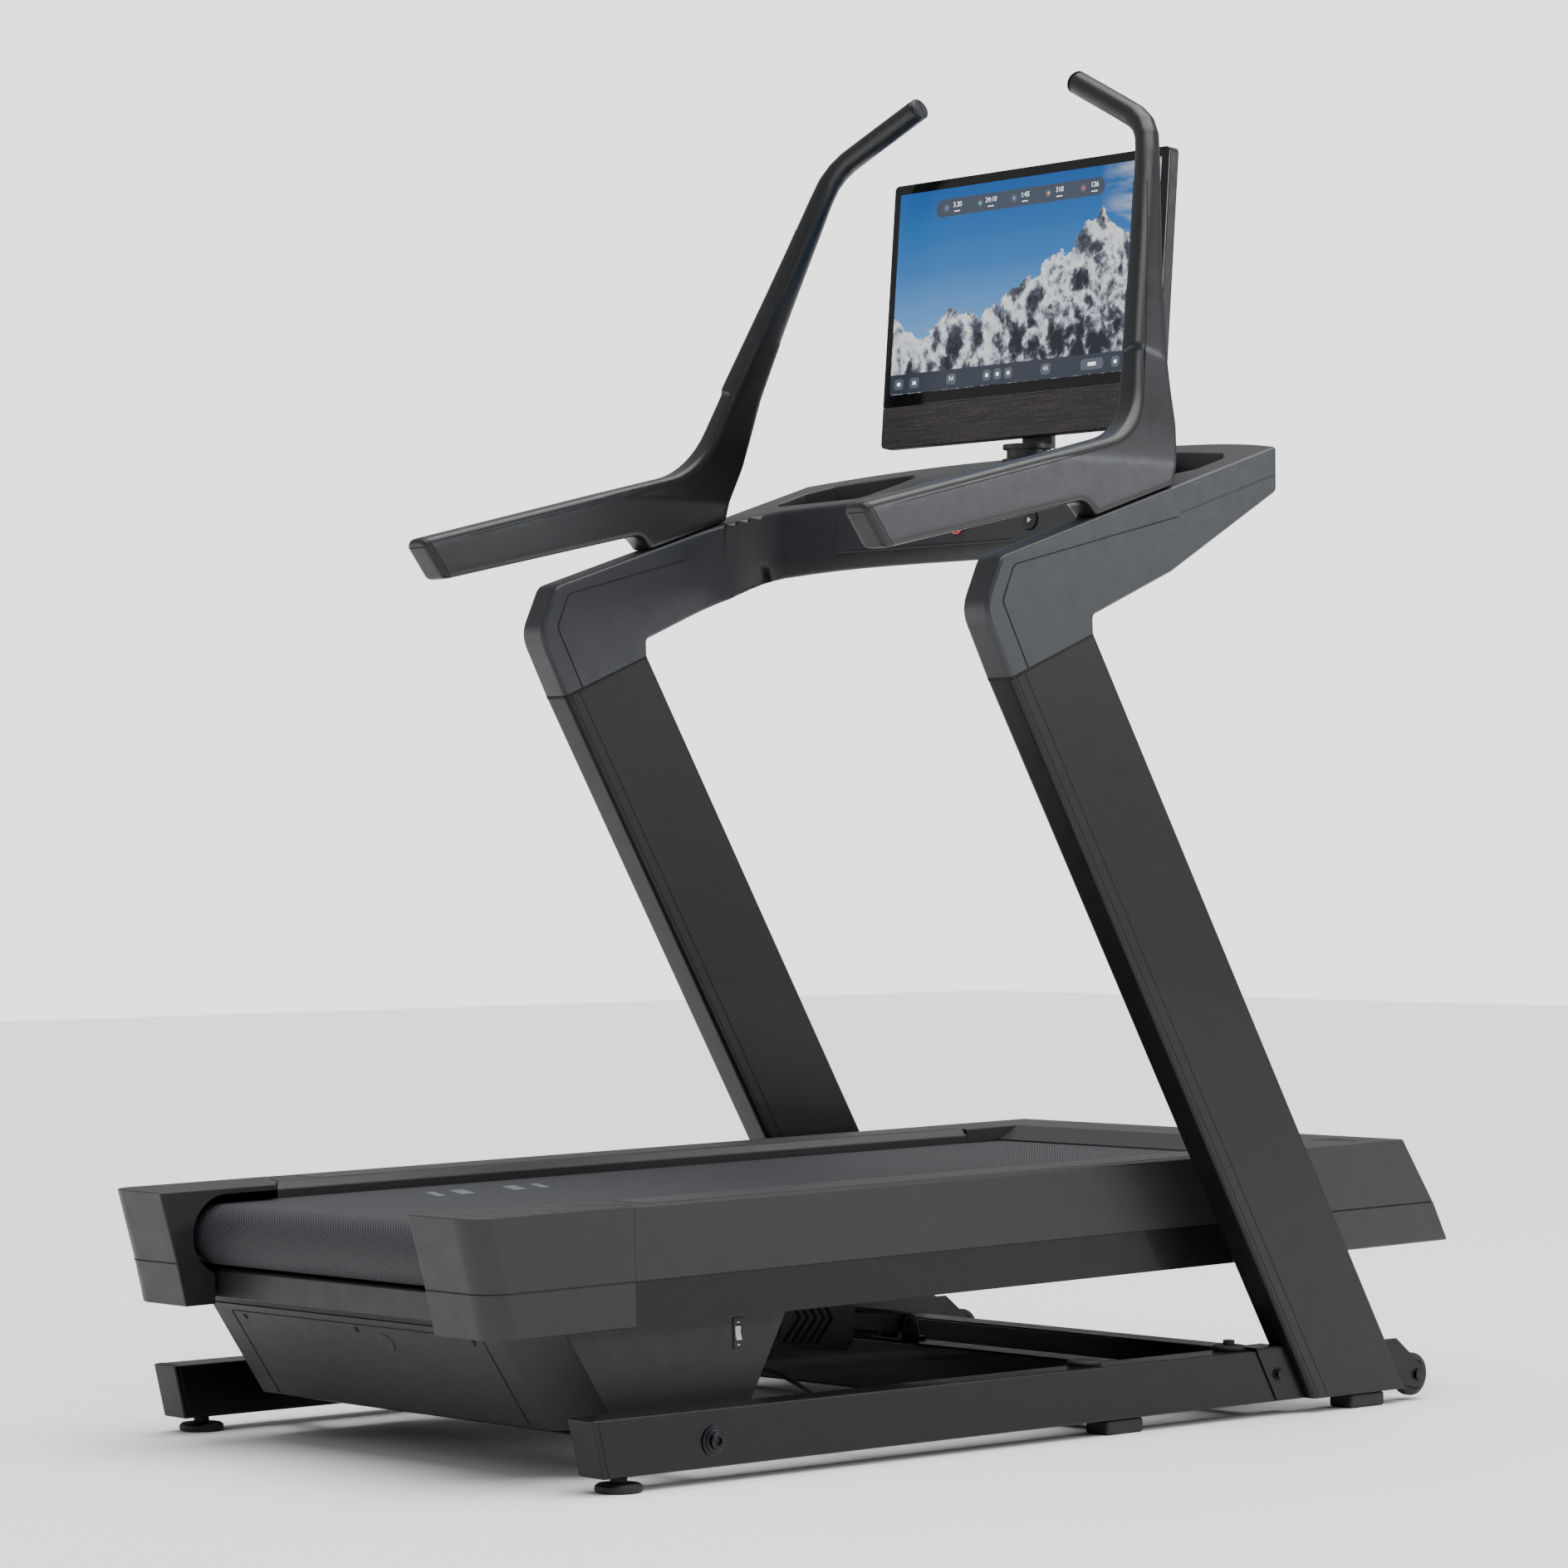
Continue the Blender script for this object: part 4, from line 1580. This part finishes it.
def harness():
    """The cable from the belly tub to the base rail, flexing across the incline joint."""
    points = [Vector(point) for point in HARNESS_ROUTE]
    curve = bpy.data.curves.new("harness_cable", "CURVE")
    curve.dimensions = "3D"
    curve.bevel_depth = HARNESS_R
    curve.bevel_resolution = 4
    curve.use_fill_caps = True
    spline = curve.splines.new("BEZIER")
    spline.bezier_points.add(len(points) - 1)
    for knot, point in zip(spline.bezier_points, points):
        knot.co = point
        knot.handle_left_type = "AUTO"
        knot.handle_right_type = "AUTO"
    spline.resolution_u = 5
    mesh = baked(linked("harness_guide", curve))
    mesh.shade_smooth()
    cable = linked("harness_cable", mesh)
    mesh.materials.clear()
    mesh.materials.append(RUBBER)
    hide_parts("harness")
    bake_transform(cable)


# ---------------------------------------------------------------- camera, light and floor

def stage_camera():
    """The camera that was fitted to the object's edges."""
    data = bpy.data.cameras.new("camera")
    data.lens = CAMERA_LENS
    data.sensor_width = 36.0
    data.clip_end = 60.0
    made = linked("camera", data)
    forward = Vector((
        -math.sin(CAMERA_YAW) * math.cos(CAMERA_PITCH), math.cos(CAMERA_YAW) * math.cos(CAMERA_PITCH),
        math.sin(CAMERA_PITCH)))
    right = Vector((math.cos(CAMERA_YAW), math.sin(CAMERA_YAW), 0.0))
    up = right.cross(forward)
    level, lift = right.copy(), up.copy()
    right = level * math.cos(CAMERA_ROLL) + lift * math.sin(CAMERA_ROLL)
    up = lift * math.cos(CAMERA_ROLL) - level * math.sin(CAMERA_ROLL)
    turn = Matrix((right, up, -forward)).transposed().to_4x4()
    made.matrix_world = Matrix.Translation(Vector(CAMERA_AT)) @ turn
    bpy.context.scene.camera = made


def area_light(name, at, aim, size, power, color=(1.0, 1.0, 1.0)):
    """A soft light at a place, aimed at another."""
    data = bpy.data.lights.new(name, "AREA")
    data.shape = "RECTANGLE"
    data.size, data.size_y = size
    data.energy = power
    data.color = color
    made = linked(name, data)
    away = Vector(aim) - Vector(at)
    made.matrix_world = Matrix.Translation(at) @ away.to_track_quat("-Z", "Y").to_matrix().to_4x4()


def studio():
    """A plain pale floor, a white surround, and soft light from above and from two sides."""
    bm = bmesh.new()
    bmesh.ops.create_grid(bm, x_segments=2, y_segments=2, size=14.0)
    floor = loose("studio_floor", bm)
    made, tree, shader = new_material("studio_paper", (0.95, 0.95, 0.95), 0.9, specular=0.1)
    grain = noise(tree, place(tree), 3.0)
    tree.links.new(mix(tree, grain.outputs["Fac"], (0.94, 0.94, 0.94), (0.96, 0.96, 0.96)),
        shader.inputs["Base Color"])
    floor.data.materials.append(made)
    world = bpy.data.worlds.new("studio")
    world.use_nodes = True
    tree = world.node_tree
    soft = tree.nodes["Background"]
    soft.inputs["Color"].default_value = (1.0, 1.0, 1.0, 1.0)
    soft.inputs["Strength"].default_value = 0.42
    paper = tree.nodes.new("ShaderNodeBackground")
    paper.inputs["Color"].default_value = (1.0, 1.0, 1.0, 1.0)
    paper.inputs["Strength"].default_value = 2.3
    path = tree.nodes.new("ShaderNodeLightPath")
    choice = tree.nodes.new("ShaderNodeMixShader")
    tree.links.new(path.outputs["Is Camera Ray"], choice.inputs["Fac"])
    tree.links.new(soft.outputs["Background"], choice.inputs[1])
    tree.links.new(paper.outputs["Background"], choice.inputs[2])
    tree.links.new(choice.outputs["Shader"], tree.nodes["World Output"].inputs["Surface"])
    bpy.context.scene.world = world
    sky = bpy.data.lights.new("overhead", "SUN")
    sky.energy = 4.6
    sky.angle = math.radians(70)
    linked("overhead", sky).rotation_euler = (math.radians(-6), math.radians(8), 0.0)
    area_light("side_right", (4.2, 3.4, 2.5), (0.4, 0.2, 1.3), (2.4, 1.8), 88.0, (0.93, 0.96, 1.0))
    area_light("rear_left", (-4.6, -4.0, 1.3), (-0.3, -0.4, 0.7), (1.4, 1.6), 34.0)


base_rails()
base_tubes()
feet()
foot_plates()
uprights()
wheels()
pivot_bolts()
console()
panel()
display()
handles()
deck_rails()
side_covers()
end_caps()
motor_hood()
belt()
rear_channel()
belly()
inner_works()
harness()
stage_camera()
studio()
